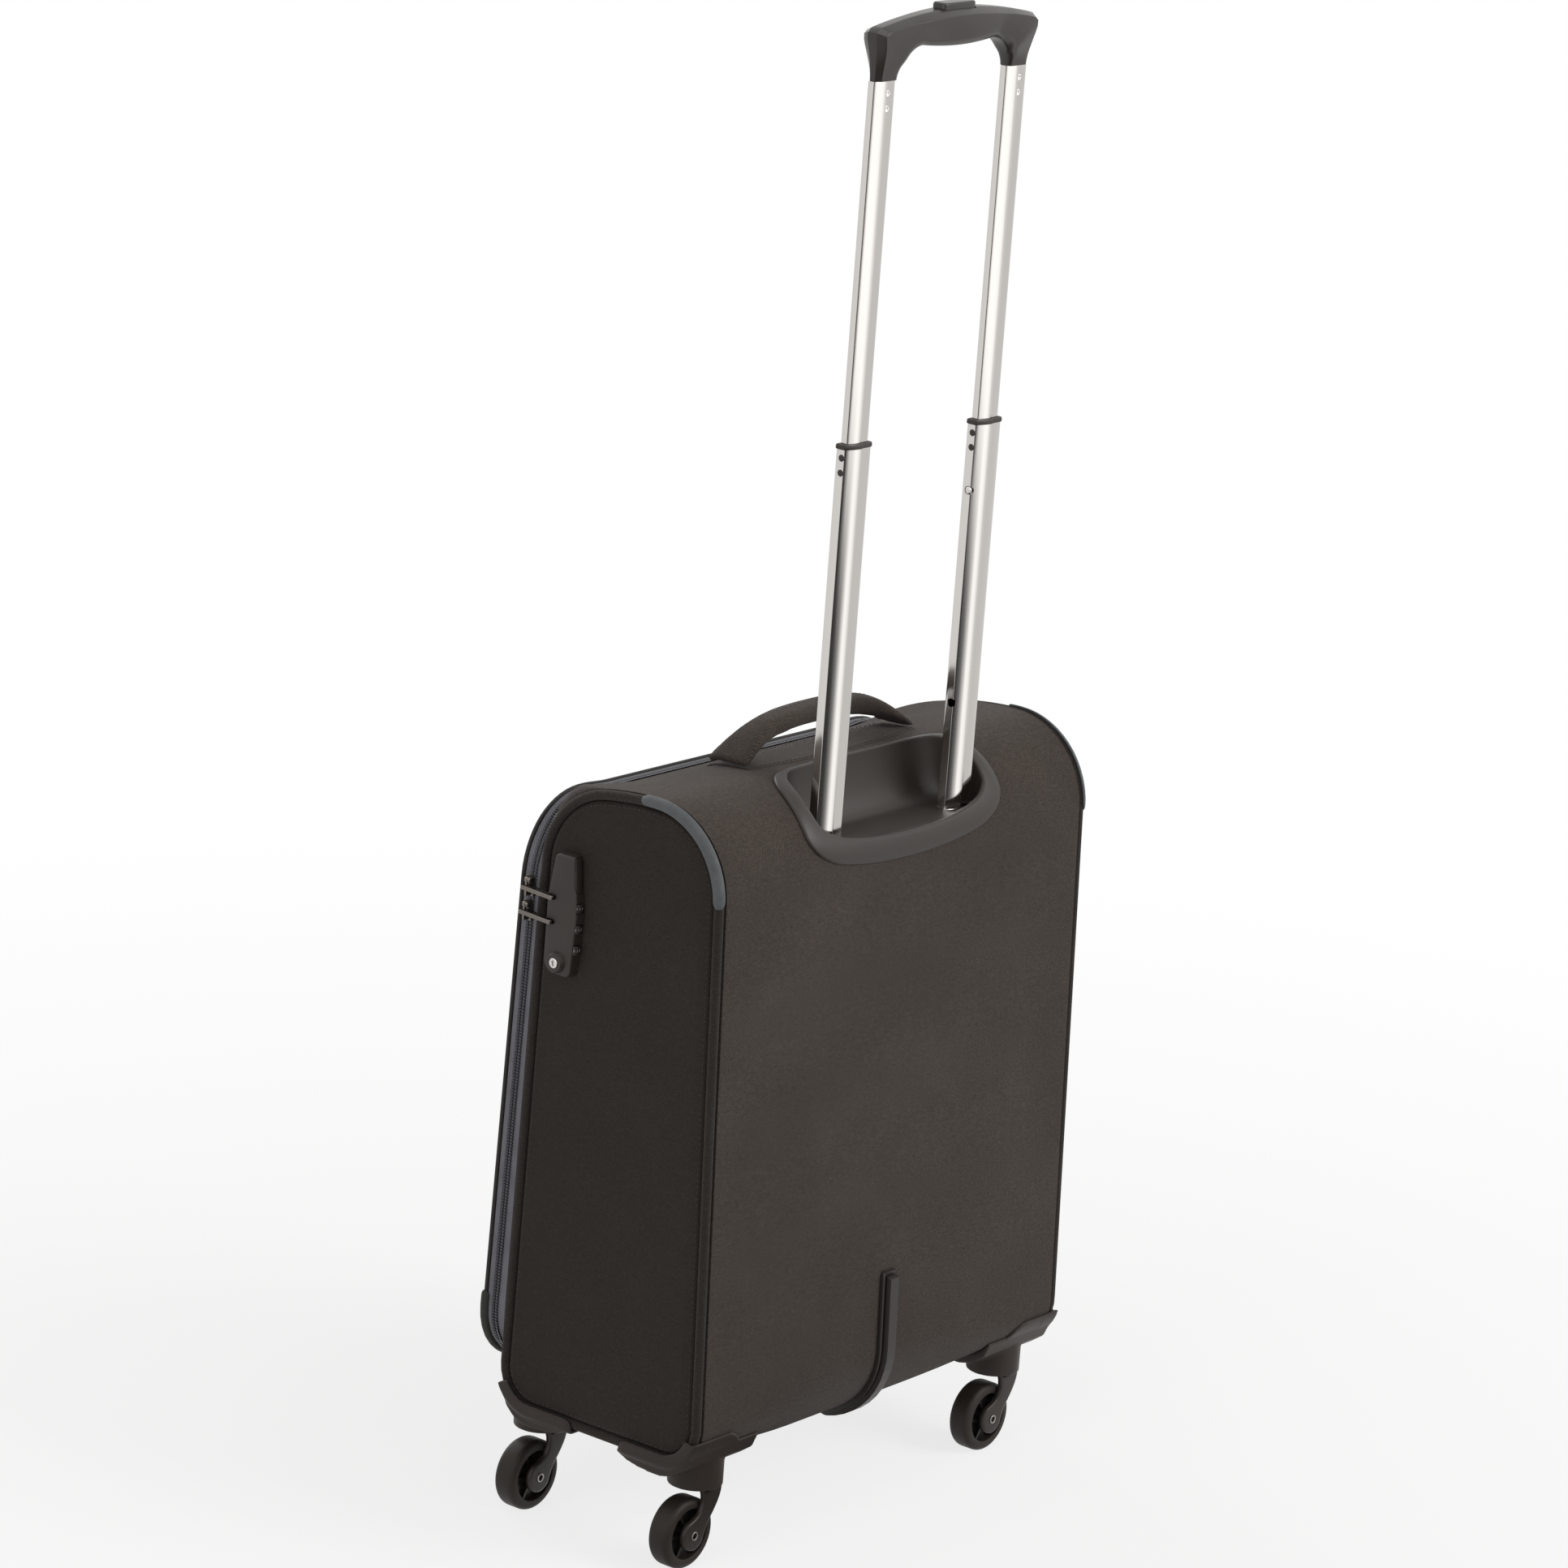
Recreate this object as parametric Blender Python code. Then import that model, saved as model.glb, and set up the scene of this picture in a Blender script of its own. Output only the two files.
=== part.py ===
"""Softside upright suitcase with a two stage trolley handle, four swivel casters and a zipped lid.

Metres, +Z up. The origin is on the floor under the middle of the case. +Y is the back, with the trolley
handle, -Y is the front lid and +X is the side with the lock, called right.
"""
import math

import bmesh
import bpy
from mathutils import Matrix, Vector

# Clearances
GAP = 0.0003            # between pieces that touch
RUN = 0.0005            # between pieces that slide or turn on each other
WELD = 0.00002          # corners nearer than this become one
LEAST_RADIUS = 0.001    # of a corner that is moved in

# Case body
BODY_WIDTH = 0.400
BODY_TOP = 0.529
BODY_BOTTOM = 0.078
BACK_Y = 0.089          # back of the wrap at the height of its top
BACK_LEAN = 0.034       # how far the back moves out for each metre down
FRONT_Y = -0.0632       # front edge of the body at the height of its top
FRONT_LEAN = 0.033
TOP_DROP = 0.011        # fall of the top towards the zip
TOP_BREAK_Y = 0.010     # where that fall begins
REAR_TOP_RADIUS = 0.060
BOTTOM_RADIUS = 0.030
FRONT_CORNER = 0.060    # radius of the top corners of the opening
WALL = 0.004
SIDE_PANEL = 0.003
SIDE_PANEL_SINK = 0.0015
PIPING_RADIUS = 0.0034
STRIP_WALL = 0.0012
STRIP_FRONT_Y = 0.020   # front end of the grey strips on the top
STRIP_BOTTOM_Z = 0.470  # their lower end on the back

# Lid and zip
LID_BOTTOM = 0.100
LID_BOTTOM_RADIUS = 0.044
LID_SINK = 0.001        # lid edge inside the body's side
LID_PANEL = 0.005
LID_DOME = 0.003
LID_PIPING_RADIUS = 0.0024
LID_GUARD_TOP = 0.155
ZIP_HALF = 0.006        # width of one zip tape in front of the body
TAPE_THICK = 0.002
TAPE_SINK = 0.0025
ZIP_STOP = 0.004        # end of the zip above the lid's lower corners
POCKET_HALF_WIDTH = 0.160
POCKET_BOTTOM = 0.150
POCKET_TOP = 0.400
POCKET_DEPTH = 0.009
POCKET_RADIUS = 0.030
POCKET_SLIDER_INSET = 0.040
POCKET_SLIDER_SIZE = (0.010, 0.004, 0.007)

# Zip sliders and their pull bars
SLIDER_HEIGHTS = {"upper": 0.446, "lower": 0.429}
SLIDER_LENGTH = 0.013
SLIDER_WIDTH = 0.006
SLIDER_PLATE = 0.0014
SLIDER_RISE = 0.0074    # tape to the top of the slider's bail
BAIL = 0.0014
PULLER_THICK = 0.002
PULLER_WIDTH = 0.0052
PULLER_TAIL = 0.003

# Side lock
LOCK_Y = -0.0385
LOCK_Z = 0.4355
LOCK_WIDTH = 0.0285
LOCK_HEIGHT = 0.082
LOCK_DEPTH = 0.009
LOCK_DRAFT = 0.0015     # slope of three of its sides
LOCK_SLOPE = 0.002      # slope of the dial side
DIAL_RADIUS = 0.0034
DIAL_LENGTH = 0.006
DIAL_PITCH = 0.0145
DIAL_SHOW = 0.0014      # how far the dials stand out of the slope
DIAL_MIDDLE_DROP = 0.008
KEY_RADIUS = 0.0035
KEY_DROP = 0.0335       # key plug below the lock's middle
KEY_FORWARD = 0.001
RELEASE_HEIGHT = 0.026
RELEASE_WIDTH = 0.0036
RELEASE_TRAVEL = 0.0015

# Trolley handle
TUBE_X = 0.0705
TUBE_Y = 0.0726
LOWER_TUBE = (0.0250, 0.0104)
UPPER_TUBE = (0.0205, 0.0075)
TUBE_WALL = 0.001
TUBE_RADIUS = 0.0032
SLEEVE_WALL = 0.0014
SLEEVE_BOTTOM = 0.0965
LOWER_BOTTOM = 0.423
LOWER_TOP = 0.757
COLLAR_HEIGHT = 0.0034
COLLAR_LIP = 0.0011
UPPER_BOTTOM = 0.700
GRIP_BOTTOM = 1.000
PIN_Z = 0.712
SPARE_HOLE_Z = 0.564
PIN_RADIUS = 0.0025
PIN_LENGTH = 0.0008
PIN_PROUD = 0.0003      # less than the run in the sleeve, so that it passes

# Grip with its release button
GRIP_HALF_LENGTH = 0.0865
GRIP_LEG = 0.0235
GRIP_RISE = 0.044       # foot of the legs to the crown
GRIP_BAR = 0.0240       # height of the bar at the middle
GRIP_FILLET = 0.019
GRIP_DEPTH = 0.024
GRIP_END_DEPTH = 0.016
GRIP_CHAMFER = 0.0025
PLUG_LENGTH = 0.025
BUTTON = (0.034, 0.0115)
BUTTON_PROUD = 0.003
BUTTON_HEIGHT = 0.0105
BUTTON_TRAVEL = 0.004
ROD = 0.003
YOKE_HEIGHT = 0.0045

# Cup that the grip sinks into
CUP_HALF_WIDTH = 0.0985
CUP_WALL = 0.0025
CUP_FLOOR = 0.4925
CUP_FRONT_Y = 0.046
CUP_FLOOR_FRONT_Y = 0.058
CUP_RIM = 0.0115        # rim beyond the cup's opening
CUP_RIM_THICK = 0.0035
CUP_RIM_FRONT_Y = 0.034
CUP_RIM_BOTTOM = 0.472

# Carry handle
CARRY_HALF_LENGTH = 0.092
CARRY_Y = 0.003
CARRY_WIDTH = 0.026
CARRY_THICK = 0.013
CARRY_RISE = 0.031
CARRY_FOOT = 0.018

# Skid rail
RAIL_TOP = 0.178
RAIL_END_Y = 0.042
RAIL_WIDTH = 0.010
RAIL_HEIGHT = 0.0065
RAIL_FLANGE = 0.003
RAIL_FLANGE_THICK = 0.0016

# Feet and casters
SWIVEL_X = 0.1654
SWIVEL_REAR_Y = 0.077
SWIVEL_FRONT_Y = -0.061
FOOT_REACH = 0.072      # foot along the width, from the case's side
FOOT_LENGTH = 0.069     # foot along the case's side
FOOT_THICK = 0.009
FOOT_TIP = 0.0022
FOOT_RISE = 0.015       # foot up the back or the front
HOUSING_RADIUS = 0.018
HOUSING_BOTTOM = 0.057
HOUSING_CHAMFER = 0.002
STEM_RADIUS = 0.0045
STEM_LENGTH = 0.014
CROWN_RADIUS = 0.0155
CROWN_HEIGHT = 0.0045
WHEEL_RADIUS = 0.0253
WHEEL_WIDTH = 0.017
WHEEL_RIM = 0.0072      # tyre and rim, radially
WHEEL_SINK = 0.0045     # how far the wheel's web lies in from its face
HUB_RADIUS = 0.0075
TRAIL = 0.0122          # swivel axis to wheel axle
ARM = 0.0035
ARM_BOSS = 0.011
AXLE_RADIUS = 0.0026
AXLE_BORE = 0.0016
AXLE_HEAD_RADIUS = 0.0045
AXLE_HEAD = 0.0008

# Facets
ARC_STEPS = 5
TUBE_SIDES = 8
PIPING_SIDES = 6
WHEEL_SIDES = 20
ROUND_SIDES = 14

# Worked out from the sizes above
HALF_WIDTH = BODY_WIDTH / 2
NOTCH = 2 * PIPING_RADIUS + GAP
WRAP_HALF = HALF_WIDTH - NOTCH
PANEL_FACE = HALF_WIDTH - SIDE_PANEL_SINK
OPENING_TOP = BODY_TOP - TOP_DROP
LID_HALF = HALF_WIDTH - LID_SINK
LID_CORNER = FRONT_CORNER + LID_HALF - WRAP_HALF
LID_BACK = 2 * ZIP_HALF + 2 * GAP
LID_FRONT = LID_BACK + LID_PANEL
ZIP_END = LID_BOTTOM + LID_BOTTOM_RADIUS + ZIP_STOP
HINGE_Z = LID_BOTTOM + 0.5 * TAPE_THICK + GAP
AXLE_Z = WHEEL_RADIUS * math.cos(math.pi / WHEEL_SIDES)
SIDES = {"right": 1, "left": -1}


for item in list(bpy.data.objects):
    bpy.data.objects.remove(item, do_unlink=True)


def finish(name, colour, roughness, metallic=0.0):
    """Returns a plain material of one sRGB hex colour."""
    channels = [int(colour[i:i + 2], 16) / 255 for i in (0, 2, 4)]
    linear = [c / 12.92 if c <= 0.04045 else ((c + 0.055) / 1.055) ** 2.4 for c in channels]
    made = bpy.data.materials.new(name)
    made.use_nodes = True
    shader = made.node_tree.nodes["Principled BSDF"]
    shader.inputs["Base Color"].default_value = (*linear, 1)
    shader.inputs["Roughness"].default_value = roughness
    shader.inputs["Metallic"].default_value = metallic
    return made


FABRIC = finish("dark_fabric", "44403D", 0.85)
SIDE_FABRIC = finish("side_fabric", "2D2926", 0.88)
PIPING = finish("piping_fabric", "35312E", 0.8)
TAPE = finish("zip_tape", "4A4852", 0.8)
GREY_TRIM = finish("grey_trim", "4E5254", 0.55)
LINING = finish("lining", "5C5A58", 0.8)
PLASTIC = finish("black_plastic", "332F2C", 0.42)
TYRE = finish("tyre_rubber", "2B2825", 0.6)
ALUMINIUM = finish("aluminium", "D4D0CC", 0.22, 1.0)
STEEL = finish("bright_steel", "C8C6C2", 0.2, 1.0)
GUNMETAL = finish("gunmetal", "6E6862", 0.35, 1.0)


def pivot(name, place, parent=None):
    """Returns an empty on a joint's axis, which carries the pieces that move on that joint."""
    empty = bpy.data.objects.new(name, None)
    empty.empty_display_size = 0.01
    bpy.context.scene.collection.objects.link(empty)
    empty.location = Vector(place)
    if parent:
        empty.parent = parent
        empty.location -= world_place(parent)
    return empty


def world_place(obj):
    """Returns an object's place in the world; nothing here is turned or scaled."""
    place = obj.location.copy()
    while obj.parent:
        obj = obj.parent
        place += obj.location
    return place


def solid(name, bm, material, carrier=None):
    """Makes a named object from a mesh drawn in world places, with its origin on its carrier's axis."""
    bmesh.ops.recalc_face_normals(bm, faces=bm.faces)
    place = world_place(carrier) if carrier else Vector()
    bmesh.ops.translate(bm, verts=bm.verts, vec=-place)
    mesh = bpy.data.meshes.new(name)
    bm.to_mesh(mesh)
    bm.free()
    if material:
        mesh.materials.append(material)
    mesh.shade_smooth()
    mesh.set_sharp_from_angle(angle=math.radians(35))
    obj = bpy.data.objects.new(name, mesh)
    bpy.context.scene.collection.objects.link(obj)
    obj.parent = carrier
    return obj


def combine(obj, operation, *shapes):
    """Cuts shapes out of an object, or joins them to it, and drops the shapes."""
    for shape in shapes:
        tool = solid("tool", shape, None)
        bpy.context.view_layer.update()
        step = obj.modifiers.new("combine", "BOOLEAN")
        step.operation = operation
        step.object = tool
        with bpy.context.temp_override(object=obj, active_object=obj, selected_objects=[obj]):
            bpy.ops.object.modifier_apply(modifier=step.name)
        bpy.data.objects.remove(tool, do_unlink=True)
        bm = bmesh.new()
        bm.from_mesh(obj.data)
        bmesh.ops.remove_doubles(bm, verts=bm.verts, dist=WELD)
        bmesh.ops.dissolve_degenerate(bm, edges=bm.edges, dist=WELD)
        bm.to_mesh(obj.data)
        bm.free()
    return obj


def loft(rings, closed=False):
    """Skins rings of points; an open run of rings is capped, a closed run joins its ends."""
    bm = bmesh.new()
    loops = [[bm.verts.new(point) for point in ring] for ring in rings]
    pairs = list(zip(loops, loops[1:]))
    if closed:
        pairs.append((loops[-1], loops[0]))
    for near, far in pairs:
        for i in range(len(near)):
            j = (i + 1) % len(near)
            bm.faces.new((near[i], near[j], far[j], far[i]))
    if not closed:
        bm.faces.new(loops[0])
        bm.faces.new(loops[-1])
    return bm


def box(low, high):
    """Returns a block between two corners."""
    ring = ((low[0], low[1]), (high[0], low[1]), (high[0], high[1]), (low[0], high[1]))
    return loft([[(x, y, z) for x, y in ring] for z in (low[2], high[2])])


def turned(profile, centre, axis, sides):
    """Turns a closed outline of (radius, along) points round an axis through a centre."""
    spin = Vector((0, 0, 1)).rotation_difference(Vector(axis)).to_matrix()
    rings = []
    for i in range(sides):
        angle = 2 * math.pi * (i + 0.5) / sides
        ring = [Vector((r * math.cos(angle), r * math.sin(angle), h)) for r, h in profile]
        rings.append([Vector(centre) + spin @ point for point in ring])
    return loft(rings, closed=True)


def rod(radius, start, end, sides=ROUND_SIDES):
    """Returns a round bar between two points."""
    start = Vector(start)
    span = Vector(end) - start
    spin = Vector((0, 0, 1)).rotation_difference(span).to_matrix()
    circle = [2 * math.pi * (i + 0.5) / sides for i in range(sides)]
    ring = [spin @ Vector((radius * math.cos(a), radius * math.sin(a), 0)) + start for a in circle]
    return loft([ring, [point + span for point in ring]])


def inset(corners, distance):
    """Moves each edge of an anticlockwise polygon inwards and returns the new corners."""
    moved = []
    count = len(corners)
    for i in range(count):
        before = Vector(corners[i]) - Vector(corners[i - 1])
        after = Vector(corners[(i + 1) % count]) - Vector(corners[i])
        before.normalize()
        after.normalize()
        first = Vector((-before.y, before.x))
        second = Vector((-after.y, after.x))
        reach = distance / (1 + first.dot(second))
        moved.append(Vector(corners[i]) + (first + second) * reach)
    return moved


def rounded(corners, radii, steps=ARC_STEPS):
    """Rounds the corners of an anticlockwise polygon; a radius of None leaves a corner as it is."""
    points = []
    count = len(corners)
    for i in range(count):
        corner = Vector(corners[i])
        if radii[i] is None:
            points.append(corner)
            continue
        back = (Vector(corners[i - 1]) - corner).normalized()
        ahead = (Vector(corners[(i + 1) % count]) - corner).normalized()
        half = back.angle(ahead) / 2
        centre = corner + (back + ahead).normalized() * radii[i] / math.sin(half)
        start = corner + back * radii[i] / math.tan(half) - centre
        sweep = math.pi - 2 * half
        for k in range(steps + 1):
            turn = sweep * k / steps
            points.append(centre + Matrix.Rotation(turn, 2) @ start)
    return points


def front_y(z):
    """Returns the front edge of the body at a height."""
    return FRONT_Y - FRONT_LEAN * (BODY_TOP - z)


def back_y(z):
    """Returns the back of the wrap at a height."""
    return BACK_Y + BACK_LEAN * (BODY_TOP - z)


def side_outline(front_radius=FRONT_CORNER, depth=0.0):
    """Returns the case's outline in (y, z), anticlockwise from the bottom front, moved in by a depth."""
    corners = [
        (front_y(BODY_BOTTOM), BODY_BOTTOM),
        (back_y(BODY_BOTTOM), BODY_BOTTOM),
        (back_y(BODY_TOP), BODY_TOP),
        (TOP_BREAK_Y, BODY_TOP),
        (front_y(OPENING_TOP), OPENING_TOP),
    ]
    radii = (BOTTOM_RADIUS, REAR_TOP_RADIUS, front_radius)
    bottom, rear, front = [max(radius - depth, LEAST_RADIUS) for radius in radii]
    return rounded(inset(corners, depth), [bottom, bottom, rear, None, front])


def outline_part(start, end, depth=0.0):
    """Returns the stretch of the side outline between two test functions on (y, z)."""
    points = side_outline(depth=depth)
    first = next(i for i, p in enumerate(points) if start(p))
    last = max(i for i, p in enumerate(points) if end(p))
    return points[first:last + 1]


def sweep(path, section, x, closed=False):
    """Sweeps a section of (along X, outwards) points along a path in (y, z) at a place on X.

    The path runs anticlockwise, so outwards is on its right hand. The section may depend on the
    share of the path that is done.
    """
    count = len(path)
    rings = []
    for i, point in enumerate(path):
        before = path[i - 1] if i or closed else point
        after = path[(i + 1) % count] if i + 1 < count or closed else point
        ahead = (after - before).normalized()
        outward = Vector((ahead.y, -ahead.x))
        shape = section(i / (count - 1)) if callable(section) else section
        rings.append([(x + a, point.x + outward.x * b, point.y + outward.y * b) for a, b in shape])
    return loft(rings, closed)


def circle(radius, sides=PIPING_SIDES):
    """Returns a round section."""
    angles = [2 * math.pi * i / sides for i in range(sides)]
    return [(radius * math.cos(a), radius * math.sin(a)) for a in angles]


def across(outline, low, high):
    """Draws an outline in (y, z) out along X."""
    return loft([[(x, p[0], p[1]) for p in outline] for x in (low, high)])


# Case body


def wrap_loft(half, depth):
    """Returns the body's outer form moved in by a depth, with its dog-eared front top corners."""
    radius = FRONT_CORNER
    stations = []
    for i in range(ARC_STEPS + 1):
        turn = math.pi / 2 * i / ARC_STEPS
        stations.append((half - radius + radius * math.sin(turn), radius * (1 - math.cos(turn))))
    stations = [(-x, r) for x, r in reversed(stations)] + stations
    return [[(x, p.x, p.y) for p in side_outline(r, depth)] for x, r in stations]


def body_shell():
    """The stiffened case, open at the front, with a step for the piping round each side."""
    step = side_outline(depth=NOTCH)
    wall_face = PANEL_FACE - SIDE_PANEL - GAP

    def at(x):
        return [(x, p.x, p.y) for p in step]

    rings = [at(-wall_face), at(-WRAP_HALF), *wrap_loft(WRAP_HALF, 0), at(WRAP_HALF), at(wall_face)]
    shell = solid("body_shell", loft(rings), FABRIC)
    room = loft(wrap_loft(WRAP_HALF - WALL, WALL))
    mouth = front_prism(front_outline(WRAP_HALF - WALL - LID_HALF, WALL), -3 * WALL, 3 * WALL)
    slack = inset(cup_outer(), -GAP)
    return combine(shell, "DIFFERENCE", room, mouth, across(slack, -CUP_OUT - GAP, CUP_OUT + GAP))


def front_outline(widen=0.0, depth=0.0, bottom=LID_BOTTOM):
    """Returns the lid's outline in (x, z), anticlockwise from the bottom left, moved in by a depth."""
    half = LID_HALF + widen
    corners = [(-half, bottom), (half, bottom), (half, OPENING_TOP), (-half, OPENING_TOP)]
    top = max(LID_CORNER + widen - depth, LEAST_RADIUS)
    low = max(LID_BOTTOM_RADIUS - depth, LEAST_RADIUS)
    return rounded(inset(corners, depth), [low, low, top, top])


def front_place(x, out, z):
    """Returns a point at a distance in front of the body's leaning front."""
    return Vector((x, front_y(z) - out, z))


def front_prism(outline, low, high):
    """Draws an outline in (x, z) out in front of the body."""
    return loft([[front_place(p[0], out, p[1]) for p in outline] for out in (low, high)])


def side_panel(name, side):
    """A padded side panel inside its piping."""
    outline = side_outline(depth=NOTCH + GAP)
    inner = side * (PANEL_FACE - SIDE_PANEL)
    return solid(name, across(outline, inner, side * PANEL_FACE), SIDE_FABRIC)


def side_piping(name, side):
    """The padded piping that runs round a side panel."""
    path = side_outline(depth=PIPING_RADIUS)
    cord = sweep(path, circle(PIPING_RADIUS), side * (HALF_WIDTH - PIPING_RADIUS), True)
    return solid(name, cord, PIPING)


def shell_section(radius, wall, start, end, steps=ARC_STEPS):
    """Returns a part of a ring as a section, between two angles in degrees."""
    angles = [math.radians(start + (end - start) * i / steps) for i in range(steps + 1)]
    outer = [((radius + wall) * math.cos(a), (radius + wall) * math.sin(a)) for a in angles]
    inner = [(radius * math.cos(a), radius * math.sin(a)) for a in reversed(angles)]
    return outer + inner


def corner_strip(name, side):
    """The grey strip over the piping at a top rear corner."""
    path = outline_part(
        lambda p: p.y > BODY_TOP - REAR_TOP_RADIUS and p.x > 0,
        lambda p: p.x > STRIP_FRONT_Y and p.y > STRIP_BOTTOM_Z,
        PIPING_RADIUS)
    section = shell_section(PIPING_RADIUS + GAP, STRIP_WALL, 2, 86)
    if side < 0:
        section = [(-a, b) for a, b in section]
    return solid(name, sweep(path, section, side * (HALF_WIDTH - PIPING_RADIUS)), GREY_TRIM)


# Trolley cup, sleeves and liner

CUP_OUT = CUP_HALF_WIDTH + CUP_WALL


def cup_recess():
    """Returns the cup's hollow in (y, z), anticlockwise, open above and behind the case."""
    far = BACK_Y + REAR_TOP_RADIUS
    above = BODY_TOP + REAR_TOP_RADIUS
    bend = (CUP_FRONT_Y + CUP_FLOOR_FRONT_Y) / 2
    return [(CUP_FLOOR_FRONT_Y, CUP_FLOOR), (far, CUP_FLOOR), (far, above), (CUP_FRONT_Y, above),
            (CUP_FRONT_Y, BODY_TOP), (bend, (BODY_TOP + CUP_FLOOR) / 2)]


def cup_outer():
    """Returns the outside of the cup's walls in (y, z)."""
    return inset(cup_recess(), -CUP_WALL)


def handle_cup():
    """The cup let into the top rear corner: a rim that lies on the wrap, walls and a floor."""
    path = outline_part(
        lambda p: p.y > CUP_RIM_BOTTOM and p.x > CUP_RIM_FRONT_Y,
        lambda p: p.x > CUP_RIM_FRONT_Y and p.y > CUP_RIM_BOTTOM)
    first = Vector((back_y(CUP_RIM_BOTTOM), CUP_RIM_BOTTOM))
    last = Vector((CUP_RIM_FRONT_Y, BODY_TOP))
    path = [first, *path, last]
    half = CUP_OUT + CUP_RIM - CUP_WALL
    low = GAP
    section = [(-half, low), (half, low), (half, CUP_RIM_THICK), (-half, CUP_RIM_THICK)]
    cup = solid("handle_cup", sweep(path, section, 0), PLASTIC)
    walls = solid("walls", across(cup_outer(), -CUP_OUT, CUP_OUT), None)
    keep = [(p.x, p.y) for p in side_outline(depth=-CUP_RIM_THICK)]
    combine(walls, "INTERSECT", across(keep, -HALF_WIDTH, HALF_WIDTH))
    bm = bmesh.new()
    bm.from_mesh(walls.data)
    bpy.data.objects.remove(walls, do_unlink=True)
    combine(cup, "UNION", bm)
    hollow = across(cup_recess(), -CUP_HALF_WIDTH, CUP_HALF_WIDTH)
    holes = []
    for side in SIDES.values():
        outline = tube_outline(side, LOWER_TUBE, -RUN)
        holes.append(upright(outline, CUP_FLOOR - 2 * CUP_WALL, CUP_FLOOR + CUP_WALL))
    return combine(cup, "DIFFERENCE", hollow, *holes)


def tube_outline(side, size, shrink=0.0):
    """Returns a trolley tube's outline in (x, y), moved in by a distance."""
    half_x = size[0] / 2 - shrink
    half_y = size[1] / 2 - shrink
    x = side * TUBE_X
    corners = [(x - half_x, TUBE_Y - half_y), (x + half_x, TUBE_Y - half_y),
               (x + half_x, TUBE_Y + half_y), (x - half_x, TUBE_Y + half_y)]
    return rounded(corners, [max(TUBE_RADIUS - shrink, 0.0008)] * 4, 2)


def upright(outline, low, high):
    """Draws an outline in (x, y) up along Z."""
    return loft([[(p[0], p[1], z) for p in outline] for z in (low, high)])


def hollow_tube(outer, inner, low, high):
    """Returns a tube between two heights."""
    rings = [(outer, low), (outer, high), (inner, high), (inner, low)]
    return loft([[(p[0], p[1], z) for p in ring] for ring, z in rings], closed=True)


def tube_sleeve(name, side):
    """The fixed tube inside the case that a lower tube slides in."""
    outer = tube_outline(side, LOWER_TUBE, -RUN - SLEEVE_WALL)
    inner = tube_outline(side, LOWER_TUBE, -RUN)
    return solid(name, hollow_tube(outer, inner, SLEEVE_BOTTOM, CUP_FLOOR - CUP_WALL - GAP), ALUMINIUM)


def sleeve_bracket():
    """The moulded bar on the case's floor that holds the sleeves' lower ends."""
    half = LOWER_TUBE[1] / 2 + RUN + SLEEVE_WALL
    reach = TUBE_X + LOWER_TUBE[0] / 2 + 2 * SLEEVE_WALL
    base = BODY_BOTTOM + WALL + GAP
    low = (-reach, TUBE_Y - half, base)
    high = (reach, TUBE_Y + half, SLEEVE_BOTTOM - GAP)
    bar = solid("sleeve_bracket", box(low, high), PLASTIC)
    room = [(p.x, p.y) for p in side_outline(depth=WALL + GAP)]
    return combine(bar, "INTERSECT", across(room, -HALF_WIDTH, HALF_WIDTH))


def back_liner():
    """The liner board that closes the packing room off from the trolley tubes."""
    face = TUBE_Y - LOWER_TUBE[1] / 2 - RUN - SLEEVE_WALL - 2 * WALL
    reach = WRAP_HALF - 2 * WALL
    low = (-reach, face - WALL / 2, BODY_BOTTOM + 2 * WALL)
    high = (reach, face, CUP_FLOOR - 3 * CUP_WALL)
    return solid("back_liner", box(low, high), LINING)


# Carry handle and skid rail


def carry_handle():
    """The padded carry handle: an arch sewn down at both ends, with room for a hand under it."""
    rings = []
    steps = 2 * ARC_STEPS + 2
    reach = CARRY_HALF_LENGTH - CARRY_FOOT / 2
    base = BODY_TOP + GAP
    for i in range(steps + 1):
        share = -1 + 2 * i / steps
        angle = math.pi / 2 * share
        x = reach * math.sin(angle)
        rise = (CARRY_RISE - CARRY_THICK / 2) * math.cos(angle) ** 0.8 if abs(share) < 1 else 0.0
        lean = math.atan2(CARRY_RISE * math.sin(angle), reach * math.cos(angle) + CARRY_THICK)
        grow = 1 + 0.6 * abs(share) ** 6
        half = CARRY_THICK / 2 * grow
        width = CARRY_WIDTH / 2
        up = Vector((math.sin(lean), 0, math.cos(lean)))
        middle = Vector((x, CARRY_Y, base + rise))
        corners = [(-width, -half), (width, -half), (width, half), (-width, half)]
        ring = []
        for a, b in rounded(corners, [half * 0.7] * 4, 2):
            point = middle + up * b + Vector((0, a, 0))
            point.z = max(point.z, base)
            ring.append(point)
        rings.append(ring)
    return solid("carry_handle", loft(rings), FABRIC)


def skid_rail():
    """The skid rail down the back and round the bottom edge."""
    path = outline_part(
        lambda p: p.x > RAIL_END_Y,
        lambda p: p.x > RAIL_END_Y and p.y < RAIL_TOP)
    path = [Vector((RAIL_END_Y, BODY_BOTTOM)), *path, Vector((back_y(RAIL_TOP), RAIL_TOP))]
    half = RAIL_WIDTH / 2
    wide = half + RAIL_FLANGE
    section = [(-wide, GAP), (wide, GAP), (wide, RAIL_FLANGE_THICK), (half, RAIL_FLANGE_THICK),
               (half, RAIL_HEIGHT), (-half, RAIL_HEIGHT), (-half, RAIL_FLANGE_THICK),
               (-wide, RAIL_FLANGE_THICK)]
    return solid("skid_rail", sweep(path, section, 0), PLASTIC)


# Lid, zip and front pocket


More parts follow.
